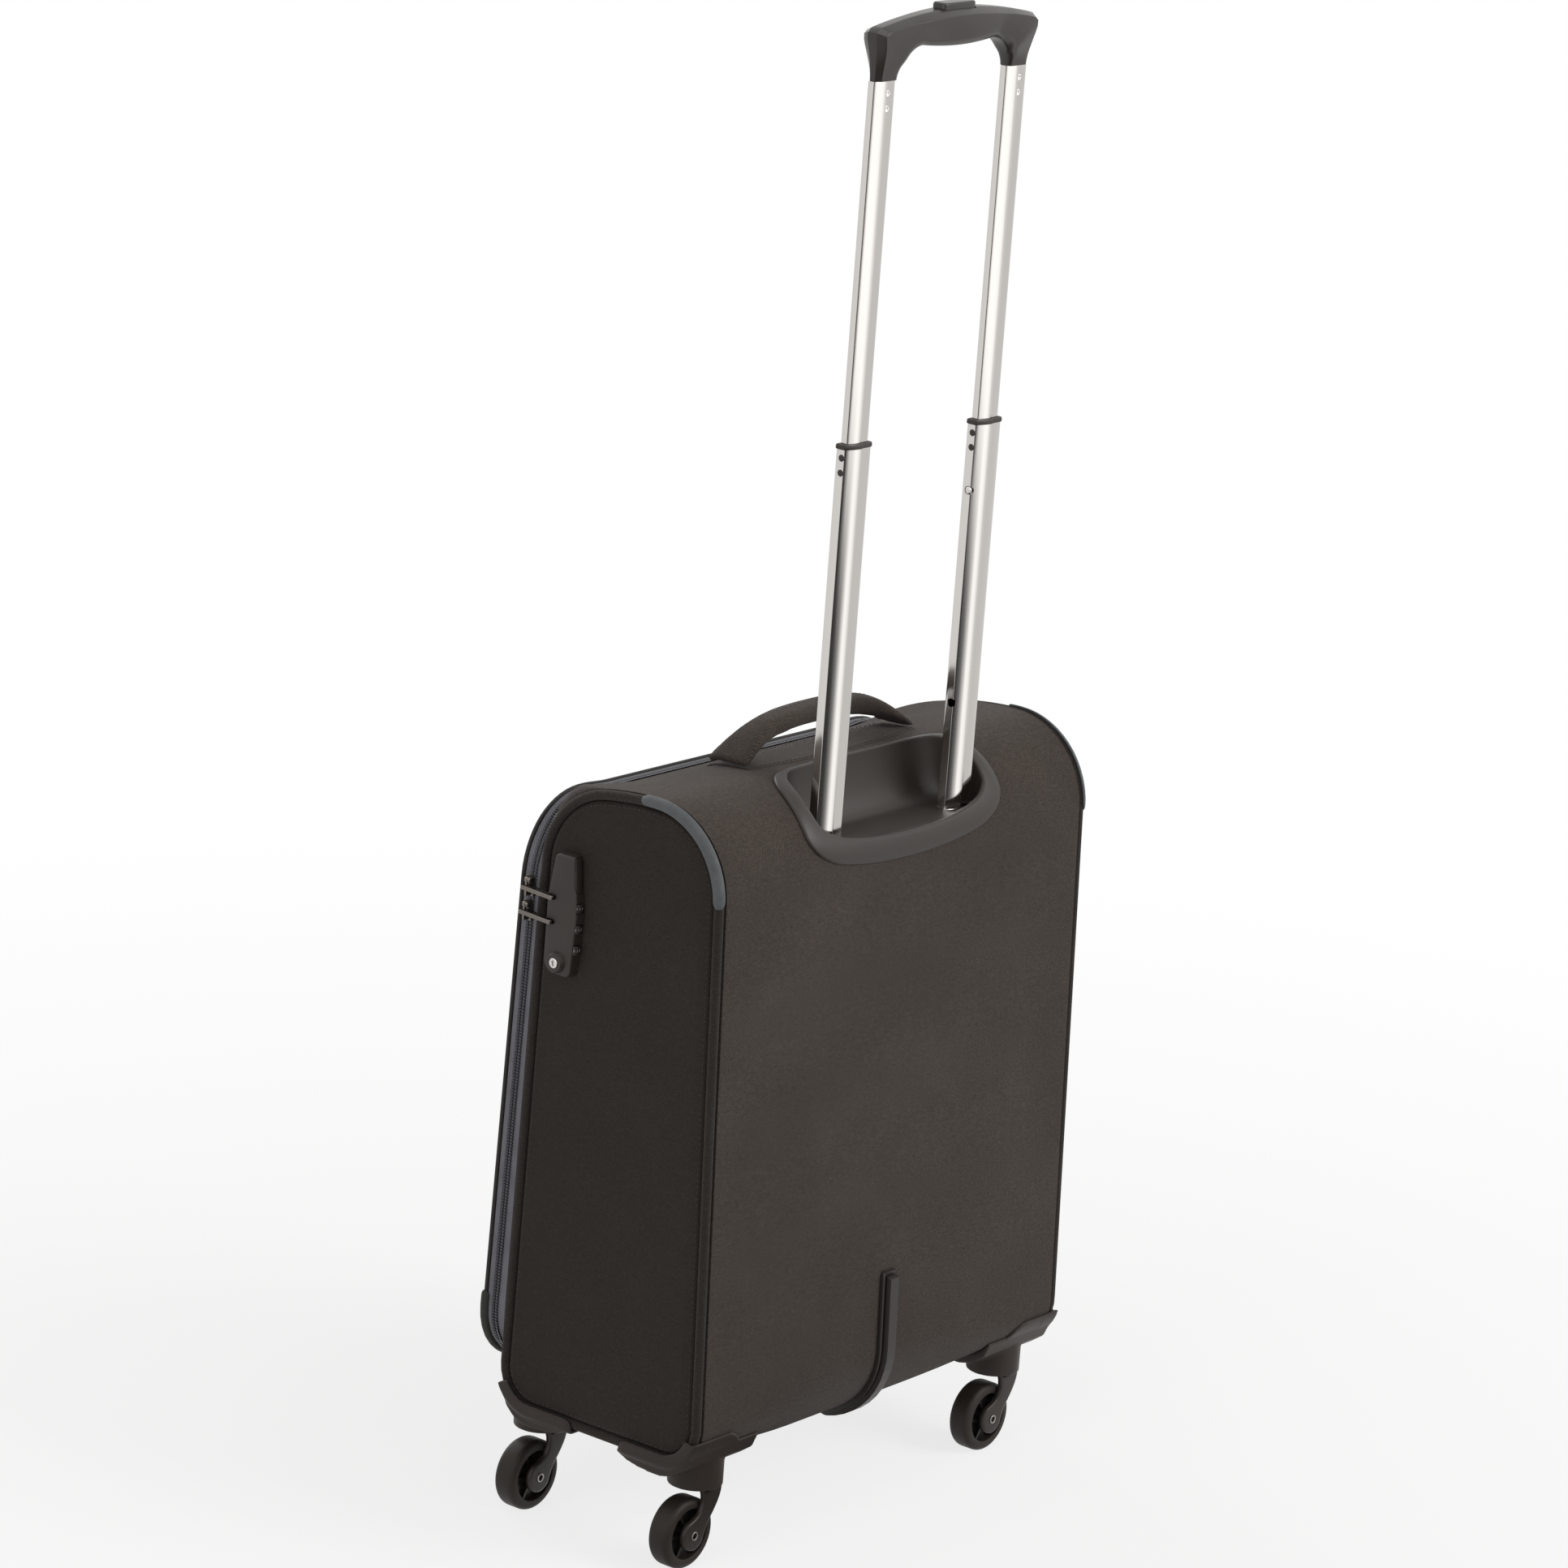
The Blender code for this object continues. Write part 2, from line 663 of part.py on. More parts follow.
def zip_band(depth):
    """Returns the zip's course in (x, z) from the left end over the top to the right end."""
    points = front_outline(0, depth)
    top = [p for p in points if p.y > ZIP_END + LID_BOTTOM_RADIUS]
    half = LID_HALF - depth
    return [Vector((half, ZIP_END)), *top, Vector((-half, ZIP_END))]


def zip_tape(name, low, high, carrier):
    """One half of the zip: a tape round the two sides and the top."""
    outline = zip_band(TAPE_SINK) + list(reversed(zip_band(TAPE_SINK + TAPE_THICK)))
    return solid(name, front_prism(outline, low, high), TAPE, carrier)


def lid_panel(carrier):
    """The padded lid, a little domed."""
    edge = 2 * LID_PIPING_RADIUS + GAP
    flat = front_outline(0, edge)
    crown = front_outline(0, edge + 8 * LID_DOME)
    places = [(flat, LID_BACK), (flat, LID_FRONT), (crown, LID_FRONT + LID_DOME)]
    rings = [[front_place(p.x, out, p.y) for p in outline] for outline, out in places]
    return solid("lid_panel", loft(rings), FABRIC, carrier)


def front_sweep(path, section, out, closed):
    """Sweeps a section of (outwards, forwards) points along a course in (x, z) in front of the body."""
    count = len(path)
    rings = []
    for i, point in enumerate(path):
        before = path[i - 1] if i or closed else point
        after = path[(i + 1) % count] if i + 1 < count or closed else point
        ahead = (after - before).normalized()
        outward = Vector((ahead.y, -ahead.x))
        rings.append([front_place(point.x + outward.x * a, out + b, point.y + outward.y * a)
                      for a, b in section])
    return loft(rings, closed)


LID_PIPING_OUT = LID_BACK + LID_PANEL / 2


def lid_piping(carrier):
    """The thin piping round the lid's edge."""
    path = front_outline(0, LID_PIPING_RADIUS)
    cord = front_sweep(path, circle(LID_PIPING_RADIUS), LID_PIPING_OUT, True)
    return solid("lid_piping", cord, PIPING, carrier)


def lid_guard(name, side, carrier):
    """The grey guard over the piping at a lower corner of the lid."""
    path = [p for p in front_outline(0, LID_PIPING_RADIUS) if p.y < LID_GUARD_TOP and p.x * side > 0]
    end = Vector((side * (LID_HALF - LID_PIPING_RADIUS), LID_GUARD_TOP))
    path = [*path, end] if side > 0 else [end, *path]
    section = shell_section(LID_PIPING_RADIUS + GAP, STRIP_WALL, -80, 80)
    return solid(name, front_sweep(path, section, LID_PIPING_OUT, False), GREY_TRIM, carrier)


POCKET_BACK = LID_FRONT + LID_DOME + GAP


def front_pocket(carrier):
    """A flat padded pocket on the lid."""
    corners = [(-POCKET_HALF_WIDTH, POCKET_BOTTOM), (POCKET_HALF_WIDTH, POCKET_BOTTOM),
               (POCKET_HALF_WIDTH, POCKET_TOP), (-POCKET_HALF_WIDTH, POCKET_TOP)]
    rings = []
    for depth, out in ((0, 0), (0, 0.5), (POCKET_DEPTH, 1)):
        outline = rounded(inset(corners, depth), [POCKET_RADIUS - depth] * 4)
        rings.append([front_place(p.x, POCKET_BACK + out * POCKET_DEPTH, p.y) for p in outline])
    return solid("front_pocket", loft(rings), FABRIC, carrier)


def pocket_slider(carrier):
    """The slider of the pocket's zip, which runs along the pocket's top edge."""
    width, height, thick = POCKET_SLIDER_SIZE
    z = POCKET_TOP + GAP + height / 2
    half = width / 2
    corners = [(-half, -height / 2), (half, -height / 2), (half, height / 2), (-half, height / 2)]
    middle = POCKET_HALF_WIDTH - POCKET_SLIDER_INSET
    outline = [(middle + a, z + b) for a, b in corners]
    return solid("pocket_slider", front_prism(outline, POCKET_BACK, POCKET_BACK + thick), GUNMETAL, carrier)


def hinge_gusset():
    """The strip of cloth at the foot of the lid that hinges it to the body."""
    half = LID_HALF - LID_BOTTOM_RADIUS
    low = LID_BOTTOM + GAP
    outline = [(-half, low), (half, low), (half, low + TAPE_THICK), (-half, low + TAPE_THICK)]
    return solid("hinge_gusset", front_prism(outline, GAP, 2 * ZIP_HALF), PIPING)


# Zip sliders and their pull bars

TAPE_FACE = LID_HALF - TAPE_SINK
BAIL_X = TAPE_FACE + GAP + SLIDER_RISE - BAIL / 2


def coil_y(z):
    """Returns where the closed zip's coil runs at a height."""
    return front_y(z) - ZIP_HALF - GAP / 2


def zip_slider(name, z):
    """A slider on the zip: a plate with a bail whose lower end is open."""
    base = TAPE_FACE + GAP
    top = base + SLIDER_RISE
    half = SLIDER_LENGTH / 2
    hook = top - BAIL
    plate = base + SLIDER_PLATE
    outline = [(base, z - half), (plate, z - half), (plate, z + half - BAIL), (hook, z + half - BAIL),
               (hook, z - half + BAIL), (top, z - half + BAIL), (top, z + half), (base, z + half)]
    y = coil_y(z)
    rings = [[(a, place, b) for a, b in outline] for place in (y - SLIDER_WIDTH / 2, y + SLIDER_WIDTH / 2)]
    slider = solid(name, loft(rings), GUNMETAL)
    trims = []
    for side in (-1, 1):
        near = y + side * BAIL / 2
        far = y + side * SLIDER_WIDTH
        low = (plate, min(near, far), z - half - BAIL)
        trims.append(box(low, (top + BAIL, max(near, far), z + half - BAIL)))
    return combine(slider, "DIFFERENCE", *trims)


def puller_places(z):
    """Returns the pull bar's line in (x, y): its tail, its pivot on the bail and its tip on the lock."""
    axis = Vector((BAIL_X, coil_y(z)))
    tip = Vector((PANEL_FACE + GAP + LOCK_DEPTH, LOCK_Y - LOCK_WIDTH / 2 + LOCK_DRAFT + PULLER_WIDTH))
    return axis, tip


def zip_puller(name, z, carrier):
    """A pull bar that hangs on a slider's bail; its tip lies in a slot of the lock."""
    axis, tip = puller_places(z)
    ahead = (tip - axis).normalized()
    across_bar = Vector((-ahead.y, ahead.x))
    half = PULLER_WIDTH / 2
    tail = axis - ahead * PULLER_TAIL
    tip = tip - ahead * half
    corners = [tail - across_bar * half, tip - across_bar * half * 0.6, tip + across_bar * half * 0.6,
               tail + across_bar * half]
    if (corners[1] - corners[0]).cross(corners[2] - corners[1]) < 0:
        corners.reverse()
    outline = rounded(corners, [half * 0.5] * 4, 2)
    low = z - PULLER_THICK / 2
    bar = solid(name, upright(outline, low, low + PULLER_THICK), GUNMETAL, carrier)
    ends = [(axis.x, axis.y, z + reach) for reach in (-PULLER_THICK, PULLER_THICK)]
    eye = rod(BAIL / 2 * math.sqrt(2) + RUN, *ends, TUBE_SIDES)
    return combine(bar, "DIFFERENCE", eye)


# Side lock

LOCK_BASE = PANEL_FACE + GAP
LOCK_FACE = LOCK_BASE + LOCK_DEPTH
LOCK_REAR = LOCK_Y + LOCK_WIDTH / 2
LOCK_FRONT = LOCK_Y - LOCK_WIDTH / 2
DIAL_X = LOCK_BASE + 0.42 * LOCK_DEPTH
DIAL_Y = LOCK_REAR - LOCK_SLOPE * (DIAL_X - LOCK_BASE) / LOCK_DEPTH + DIAL_SHOW - DIAL_RADIUS
DIAL_HEIGHTS = {
    "upper": LOCK_Z - DIAL_MIDDLE_DROP + DIAL_PITCH,
    "middle": LOCK_Z - DIAL_MIDDLE_DROP,
    "lower": LOCK_Z - DIAL_MIDDLE_DROP - DIAL_PITCH,
}
KEY_PLACE = Vector((LOCK_FACE, LOCK_Y - KEY_FORWARD, LOCK_Z - KEY_DROP))
RELEASE_TOP = LOCK_Z + LOCK_HEIGHT / 2 - LOCK_DRAFT


def lock_form():
    """Returns the lock's block with its sloping sides."""
    low = LOCK_Z - LOCK_HEIGHT / 2
    high = LOCK_Z + LOCK_HEIGHT / 2
    foot = [(LOCK_FRONT, low), (LOCK_REAR, low), (LOCK_REAR, high), (LOCK_FRONT, high)]
    face = [(LOCK_FRONT + LOCK_DRAFT, low + LOCK_DRAFT), (LOCK_REAR - LOCK_SLOPE, low + LOCK_DRAFT),
            (LOCK_REAR - LOCK_SLOPE, high - LOCK_DRAFT), (LOCK_FRONT + LOCK_DRAFT, high - LOCK_DRAFT)]
    rings = []
    for corners, x in ((foot, LOCK_BASE), (face, LOCK_FACE)):
        rings.append([(x, p.x, p.y) for p in rounded(corners, [LOCK_DRAFT] * 4, 2)])
    return loft(rings)


def release_room(clear):
    """Returns the room of the release button, or the button itself with a negative clearance."""
    low = (LOCK_BASE + RELEASE_TRAVEL + GAP - clear, LOCK_REAR - RELEASE_WIDTH - clear,
           RELEASE_TOP - RELEASE_HEIGHT - clear)
    high = (LOCK_FACE + LOCK_DEPTH, LOCK_REAR + RELEASE_WIDTH, RELEASE_TOP + clear)
    return low, high


def lock_case():
    """The lock's moulded case with its dial slots, key bore, release pocket and two slots for the pulls."""
    case = solid("lock_case", lock_form(), PLASTIC)
    cuts = []
    reach = DIAL_RADIUS + RUN
    for z in DIAL_HEIGHTS.values():
        half = DIAL_LENGTH / 2 + RUN
        low = (DIAL_X - reach, DIAL_Y - reach, z - half)
        cuts.append(box(low, (DIAL_X + reach, LOCK_REAR + reach, z + half)))
    start = KEY_PLACE - Vector((0.7 * LOCK_DEPTH, 0, 0))
    cuts.append(rod(KEY_RADIUS + RUN, start, KEY_PLACE + Vector((0.01, 0, 0))))
    low, high = release_room(RUN)
    cuts.append(box((low[0] - RELEASE_TRAVEL, low[1], low[2]), high))
    for z in SLIDER_HEIGHTS.values():
        half = PULLER_THICK / 2 + RUN
        tip = LOCK_FRONT + LOCK_DRAFT + PULLER_WIDTH + RUN
        floor = LOCK_FACE - PULLER_WIDTH
        cuts.append(box((floor, LOCK_FRONT - 0.01, z - half), (LOCK_FACE + 0.01, tip, z + half)))
    return combine(case, "DIFFERENCE", *cuts)


def lock_dial(name, z, carrier):
    """A number dial of the lock."""
    half = Vector((0, 0, DIAL_LENGTH / 2))
    middle = Vector((DIAL_X, DIAL_Y, z))
    return solid(name, rod(DIAL_RADIUS, middle - half, middle + half), PLASTIC, carrier)


def lock_key_plug(carrier):
    """The key plug of the lock."""
    start = KEY_PLACE - Vector((0.6 * LOCK_DEPTH, 0, 0))
    return solid("lock_key_plug", rod(KEY_RADIUS, start, KEY_PLACE + Vector((RUN, 0, 0))), STEEL, carrier)


def lock_release(carrier):
    """The release button in the lock's upper corner, cut to the slope of the case."""
    low, high = release_room(0)
    button = solid("lock_release", box(low, high), PLASTIC, carrier)
    return combine(button, "INTERSECT", lock_form())


# Trolley handle


def lower_tube(name, side, carrier):
    """The lower telescoping tube with its two lock holes."""
    outer = tube_outline(side, LOWER_TUBE)
    inner = tube_outline(side, LOWER_TUBE, TUBE_WALL)
    tube = solid(name, hollow_tube(outer, inner, LOWER_BOTTOM, LOWER_TOP), ALUMINIUM, carrier)
    middle = side * (TUBE_X - LOWER_TUBE[0] / 2)
    holes = []
    for z in (PIN_Z, SPARE_HOLE_Z):
        start = (middle - 2 * TUBE_WALL, TUBE_Y, z)
        end = (middle + 2 * TUBE_WALL, TUBE_Y, z)
        holes.append(rod(PIN_RADIUS + RUN, start, end, TUBE_SIDES))
    return combine(tube, "DIFFERENCE", *holes)


def tube_collar(name, side, carrier):
    """The moulded collar on top of a lower tube, which guides the upper tube."""
    outer = tube_outline(side, LOWER_TUBE, -COLLAR_LIP)
    inner = tube_outline(side, UPPER_TUBE, -RUN)
    low = LOWER_TOP + GAP
    return solid(name, hollow_tube(outer, inner, low, low + COLLAR_HEIGHT), PLASTIC, carrier)


def upper_tube(name, side, carrier):
    """The upper telescoping tube."""
    outer = tube_outline(side, UPPER_TUBE)
    inner = tube_outline(side, UPPER_TUBE, TUBE_WALL)
    return solid(name, hollow_tube(outer, inner, UPPER_BOTTOM, GRIP_BOTTOM - GAP), ALUMINIUM, carrier)


def lock_pin(name, side, carrier):
    """The end of the spring pin that shows in the lower tube's lock hole."""
    face = side * (TUBE_X - LOWER_TUBE[0] / 2)
    end = face - side * PIN_PROUD
    start = end + side * PIN_LENGTH
    places = [(x, TUBE_Y, PIN_Z) for x in (start, end)]
    return solid(name, rod(PIN_RADIUS, *places, TUBE_SIDES), STEEL, carrier)


YOKE_TOP = GRIP_BOTTOM + GRIP_RISE + BUTTON_PROUD - BUTTON_HEIGHT - GAP
YOKE_BOTTOM = YOKE_TOP - YOKE_HEIGHT
YOKE_REACH = TUBE_X + ROD / 2


def grip_outline():
    """Returns the grip seen from behind in (x, z), anticlockwise: two legs under a crowned bar."""
    base = GRIP_BOTTOM
    inner = TUBE_X - GRIP_LEG / 2
    outer = TUBE_X + GRIP_LEG / 2
    crown = base + GRIP_RISE
    under = crown - GRIP_BAR
    shoulder = base + 0.64 * GRIP_RISE
    end_top = base + 0.78 * GRIP_RISE
    flare = (outer + 0.25 * (GRIP_HALF_LENGTH - outer), base + 0.25 * GRIP_RISE)
    right = [(inner, base), (outer, base), flare,
             (GRIP_HALF_LENGTH, shoulder), (GRIP_HALF_LENGTH - 0.003, end_top),
             (0.62 * GRIP_HALF_LENGTH, base + 0.92 * GRIP_RISE),
             (0.3 * GRIP_HALF_LENGTH, base + 0.99 * GRIP_RISE)]
    left = [(-x, z) for x, z in reversed(right)]
    fillet = []
    for k in range(ARC_STEPS + 1):
        turn = math.pi / 2 * k / ARC_STEPS
        x = inner - GRIP_FILLET * (1 - math.cos(turn))
        fillet.append((x, under - GRIP_FILLET * (1 - math.sin(turn))))
    fillet[0] = (inner, min(fillet[0][1], under - 0.5 * GRIP_FILLET))
    arch = [(-x, z) for x, z in fillet]
    return right + left + arch + list(reversed(fillet))


def grip(carrier):
    """The grip, hollowed for the release button and its yoke, with plugs in the upper tubes."""
    outline = grip_outline()
    small = inset(outline, GRIP_CHAMFER)

    def depth(x):
        share = min(abs(x) / GRIP_HALF_LENGTH, 1)
        return (GRIP_DEPTH + (GRIP_END_DEPTH - GRIP_DEPTH) * share ** 2) / 2

    rings = []
    for ring, sign, step in ((small, -1, 0), (outline, -1, 1), (outline, 1, 1), (small, 1, 0)):
        rings.append([(p[0], TUBE_Y + sign * (depth(o[0]) - step * GRIP_CHAMFER), p[1])
                      for p, o in zip(ring, outline)])
    body = solid("grip", loft(rings), PLASTIC, carrier)
    plug_low = GRIP_BOTTOM - PLUG_LENGTH
    plugs = []
    for side in SIDES.values():
        outline = tube_outline(side, UPPER_TUBE, TUBE_WALL + GAP)
        plugs.append(upright(outline, plug_low, GRIP_BOTTOM + GRIP_CHAMFER))
    combine(body, "UNION", *plugs)
    half_x = BUTTON[0] / 2 + RUN
    half_y = BUTTON[1] / 2 + RUN
    floor = YOKE_TOP - BUTTON_TRAVEL
    well = box((-half_x, TUBE_Y - half_y, floor), (half_x, TUBE_Y + half_y, GRIP_BOTTOM + 2 * GRIP_RISE))
    side_room = ROD / 2 + RUN
    channel = box((-YOKE_REACH - RUN, TUBE_Y - side_room, YOKE_BOTTOM - BUTTON_TRAVEL - RUN),
                  (YOKE_REACH + RUN, TUBE_Y + side_room, YOKE_TOP + RUN))
    bores = []
    for side in SIDES.values():
        x = side * TUBE_X
        low = (x - side_room, TUBE_Y - side_room, plug_low - RUN)
        bores.append(box(low, (x + side_room, TUBE_Y + side_room, YOKE_BOTTOM)))
    return combine(body, "DIFFERENCE", well, channel, *bores)


def release_button(carrier):
    """The push button in the grip's crown."""
    half_x = BUTTON[0] / 2
    half_y = BUTTON[1] / 2
    top = GRIP_BOTTOM + GRIP_RISE + BUTTON_PROUD
    rings = []
    for shrink, z in ((0, top - BUTTON_HEIGHT), (0, top - 0.3 * BUTTON_PROUD), (0.4 * BUTTON_PROUD, top)):
        corners = [(-half_x, TUBE_Y - half_y), (half_x, TUBE_Y - half_y),
                   (half_x, TUBE_Y + half_y), (-half_x, TUBE_Y + half_y)]
        outline = rounded(inset(corners, shrink), [BUTTON_PROUD] * 4, 2)
        rings.append([(p.x, p.y, z) for p in outline])
    return solid("release_button", loft(rings), PLASTIC, carrier)


def release_yoke(carrier):
    """The yoke under the button, with a push rod down each upper tube to the lock pins."""
    half = ROD / 2
    low = PIN_Z + BUTTON_TRAVEL
    inner = TUBE_X - half
    outer = TUBE_X + half
    outline = [(inner, low), (outer, low), (outer, YOKE_TOP), (-outer, YOKE_TOP), (-outer, low),
               (-inner, low), (-inner, YOKE_BOTTOM), (inner, YOKE_BOTTOM)]
    rings = [[(x, y, z) for x, z in outline] for y in (TUBE_Y - half, TUBE_Y + half)]
    return solid("release_yoke", loft(rings), STEEL, carrier)


# Feet and casters


def foot(name, side, rear):
    """A moulded corner foot: a guard round the case's bottom corner and the housing of a caster."""
    y = SWIVEL_REAR_Y if rear else SWIVEL_FRONT_Y
    edge = back_y(BODY_BOTTOM) if rear else front_y(BODY_BOTTOM)
    tip = Vector((edge - math.copysign(FOOT_LENGTH, y), BODY_BOTTOM))
    top = BODY_BOTTOM + FOOT_RISE
    path = [p for p in side_outline() if p.y < top and abs(p.x - edge) < FOOT_LENGTH]
    path = [tip, *path] if rear else [*path, tip]
    ends = (side * (HALF_WIDTH - FOOT_REACH), side * (HALF_WIDTH + GAP))

    def section(share):
        thick = FOOT_TIP + (FOOT_THICK - FOOT_TIP) * max(math.sin(math.pi * share), 0.0) ** 0.6
        return [(ends[0], -WALL), (ends[1], -WALL), (ends[1], thick), (ends[0], thick)]

    guard = solid(name, sweep(dense(path), section, 0), PLASTIC)
    x = side * SWIVEL_X
    rings = []
    for radius, z in ((HOUSING_RADIUS - HOUSING_CHAMFER, HOUSING_BOTTOM),
                      (HOUSING_RADIUS, HOUSING_BOTTOM + HOUSING_CHAMFER), (HOUSING_RADIUS, top)):
        rings.append([(x + radius * math.cos(turn), y + radius * math.sin(turn), z) for turn in turns()])
    combine(guard, "UNION", loft(rings))
    case = [(p.x, p.y) for p in side_outline(depth=-GAP)]
    well = rod(STEM_RADIUS + RUN, (x, y, HOUSING_BOTTOM - RUN), (x, y, HOUSING_BOTTOM + STEM_LENGTH + RUN))
    return combine(guard, "DIFFERENCE", across(case, -BODY_WIDTH, BODY_WIDTH), well)


def turns():
    """Returns the angles of a housing's facets."""
    return [2 * math.pi * (i + 0.5) / ROUND_SIDES for i in range(ROUND_SIDES)]


def dense(path):
    """Adds points to the straight stretches of a path so that a section can change along it."""
    points = [path[0]]
    for before, after in zip(path, path[1:]):
        count = max(1, round((after - before).length / FOOT_THICK))
        points += [before.lerp(after, k / count) for k in range(1, count + 1)]
    return points


def arm_outline():
    """Returns a fork arm in (x, z) from the swivel axis: from the crown back and down to the axle's boss."""
    top = HOUSING_BOTTOM - GAP
    under = top - CROWN_HEIGHT
    boss = Vector((TRAIL, AXLE_Z))
    lead = [(-0.85 * CROWN_RADIUS, top), (-0.85 * CROWN_RADIUS, under - 0.1 * WHEEL_RADIUS)]
    arc = []
    for k in range(2 * ARC_STEPS + 1):
        turn = math.radians(195 + 225 * k / (2 * ARC_STEPS))
        arc.append((boss.x + ARM_BOSS * math.cos(turn), boss.y + ARM_BOSS * math.sin(turn)))
    tail = [(0.35 * CROWN_RADIUS, under - 0.15 * WHEEL_RADIUS), (0.55 * CROWN_RADIUS, top)]
    return lead + arc + tail


def fork(name, x, y, carrier):
    """A caster fork: crown, stem and two arms with axle bores."""
    top = HOUSING_BOTTOM - GAP
    crown = rod(CROWN_RADIUS, (x, y, top - CROWN_HEIGHT), (x, y, top))
    made = solid(name, crown, PLASTIC, carrier)
    stem = rod(STEM_RADIUS, (x, y, top - CROWN_HEIGHT / 2), (x, y, top + STEM_LENGTH))
    arms = []
    bores = []
    for side in (-1, 1):
        near = y + side * (WHEEL_WIDTH / 2 + RUN)
        far = near + side * ARM
        arms.append(loft([[(x + a, place, b) for a, b in arm_outline()] for place in (near, far)]))
        mid = (near + far) / 2
        ends = [(x + TRAIL, place, AXLE_Z) for place in (mid - ARM, mid + ARM)]
        bores.append(rod(AXLE_RADIUS + RUN / 2, *ends))
    combine(made, "UNION", stem, *arms)
    return combine(made, "DIFFERENCE", *bores)


def wheel(name, x, y, carrier):
    """A caster wheel: rounded tyre, sunk web and hub with the axle's bore."""
    half = WHEEL_WIDTH / 2
    rim = WHEEL_RADIUS - WHEEL_RIM
    web = half - WHEEL_SINK
    bore = AXLE_RADIUS + RUN
    side = [(bore, half), (HUB_RADIUS, half), (HUB_RADIUS, web), (rim, web), (rim, half),
            (WHEEL_RADIUS - 0.35 * WHEEL_RIM, half), (WHEEL_RADIUS, 0.4 * half)]
    profile = side + [(r, -h) for r, h in reversed(side)]
    return solid(name, turned(profile, (x, y, AXLE_Z), (0, 1, 0), WHEEL_SIDES), TYRE, carrier)


def axle(name, x, y, carrier):
    """The hollow rivet that a wheel turns on."""
    reach = WHEEL_WIDTH / 2 + RUN + ARM + GAP
    head = reach + AXLE_HEAD
    side = [(AXLE_BORE, head), (AXLE_HEAD_RADIUS, head), (AXLE_HEAD_RADIUS, reach), (AXLE_RADIUS, reach)]
    profile = side + [(r, -h) for r, h in reversed(side)]
    return solid(name, turned(profile, (x, y, AXLE_Z), (0, 1, 0), ROUND_SIDES), STEEL, carrier)


# Assembly

body_shell()
back_liner()
handle_cup()
sleeve_bracket()
carry_handle()
skid_rail()
lock_case()
hinge_gusset()
for hand, sign in SIDES.items():
    side_panel("side_panel_" + hand, sign)
    side_piping("side_piping_" + hand, sign)
    corner_strip("corner_strip_" + hand, sign)
    tube_sleeve("tube_sleeve_" + hand, sign)

lid_axis = pivot("lid_axis", front_place(0, ZIP_HALF, HINGE_Z))
zip_tape("zip_tape_body", GAP, ZIP_HALF, None)
zip_tape("zip_tape_lid", ZIP_HALF + GAP, 2 * ZIP_HALF + GAP, lid_axis)
lid_panel(lid_axis)
lid_piping(lid_axis)
front_pocket(lid_axis)
pocket_slider(lid_axis)
for hand, sign in SIDES.items():
    lid_guard("lid_guard_" + hand, sign, lid_axis)

for place, height in SLIDER_HEIGHTS.items():
    zip_slider("zip_slider_" + place, height)
    bail = pivot("puller_axis_" + place, (BAIL_X, coil_y(height), height))
    zip_puller("zip_puller_" + place, height, bail)
for place, height in DIAL_HEIGHTS.items():
    lock_dial("lock_dial_" + place, height, pivot("dial_axis_" + place, (DIAL_X, DIAL_Y, height)))
lock_key_plug(pivot("key_axis", KEY_PLACE))
lock_release(pivot("lock_release_axis", (LOCK_BASE, LOCK_REAR, RELEASE_TOP)))

lower_stage = pivot("lower_stage_axis", (0, TUBE_Y, CUP_FLOOR))
upper_stage = pivot("upper_stage_axis", (0, TUBE_Y, LOWER_TOP), lower_stage)
button_axis = pivot("button_axis", (0, TUBE_Y, GRIP_BOTTOM + GRIP_RISE), upper_stage)
for hand, sign in SIDES.items():
    lower_tube("lower_tube_" + hand, sign, lower_stage)
    tube_collar("tube_collar_" + hand, sign, lower_stage)
    upper_tube("upper_tube_" + hand, sign, upper_stage)
    pin_place = (sign * (TUBE_X - LOWER_TUBE[0] / 2), TUBE_Y, PIN_Z)
    lock_pin("lock_pin_" + hand, sign, pivot("pin_axis_" + hand, pin_place, lower_stage))
grip(upper_stage)
release_button(button_axis)
release_yoke(button_axis)

for end, swivel_y in (("front", SWIVEL_FRONT_Y), ("rear", SWIVEL_REAR_Y)):
    for hand, sign in SIDES.items():
        corner = end + "_" + hand
        swivel_x = sign * SWIVEL_X
        foot("foot_" + corner, sign, end == "rear")
        swivel = pivot("swivel_axis_" + corner, (swivel_x, swivel_y, HOUSING_BOTTOM))
        fork("fork_" + corner, swivel_x, swivel_y, swivel)
        spin = pivot("wheel_axis_" + corner, (swivel_x + TRAIL, swivel_y, AXLE_Z), swivel)
        wheel("wheel_" + corner, swivel_x + TRAIL, swivel_y, spin)
        axle("axle_" + corner, swivel_x + TRAIL, swivel_y, swivel)
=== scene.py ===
"""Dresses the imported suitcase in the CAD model's frame: cloth, zip, lock, trolley handle and casters."""

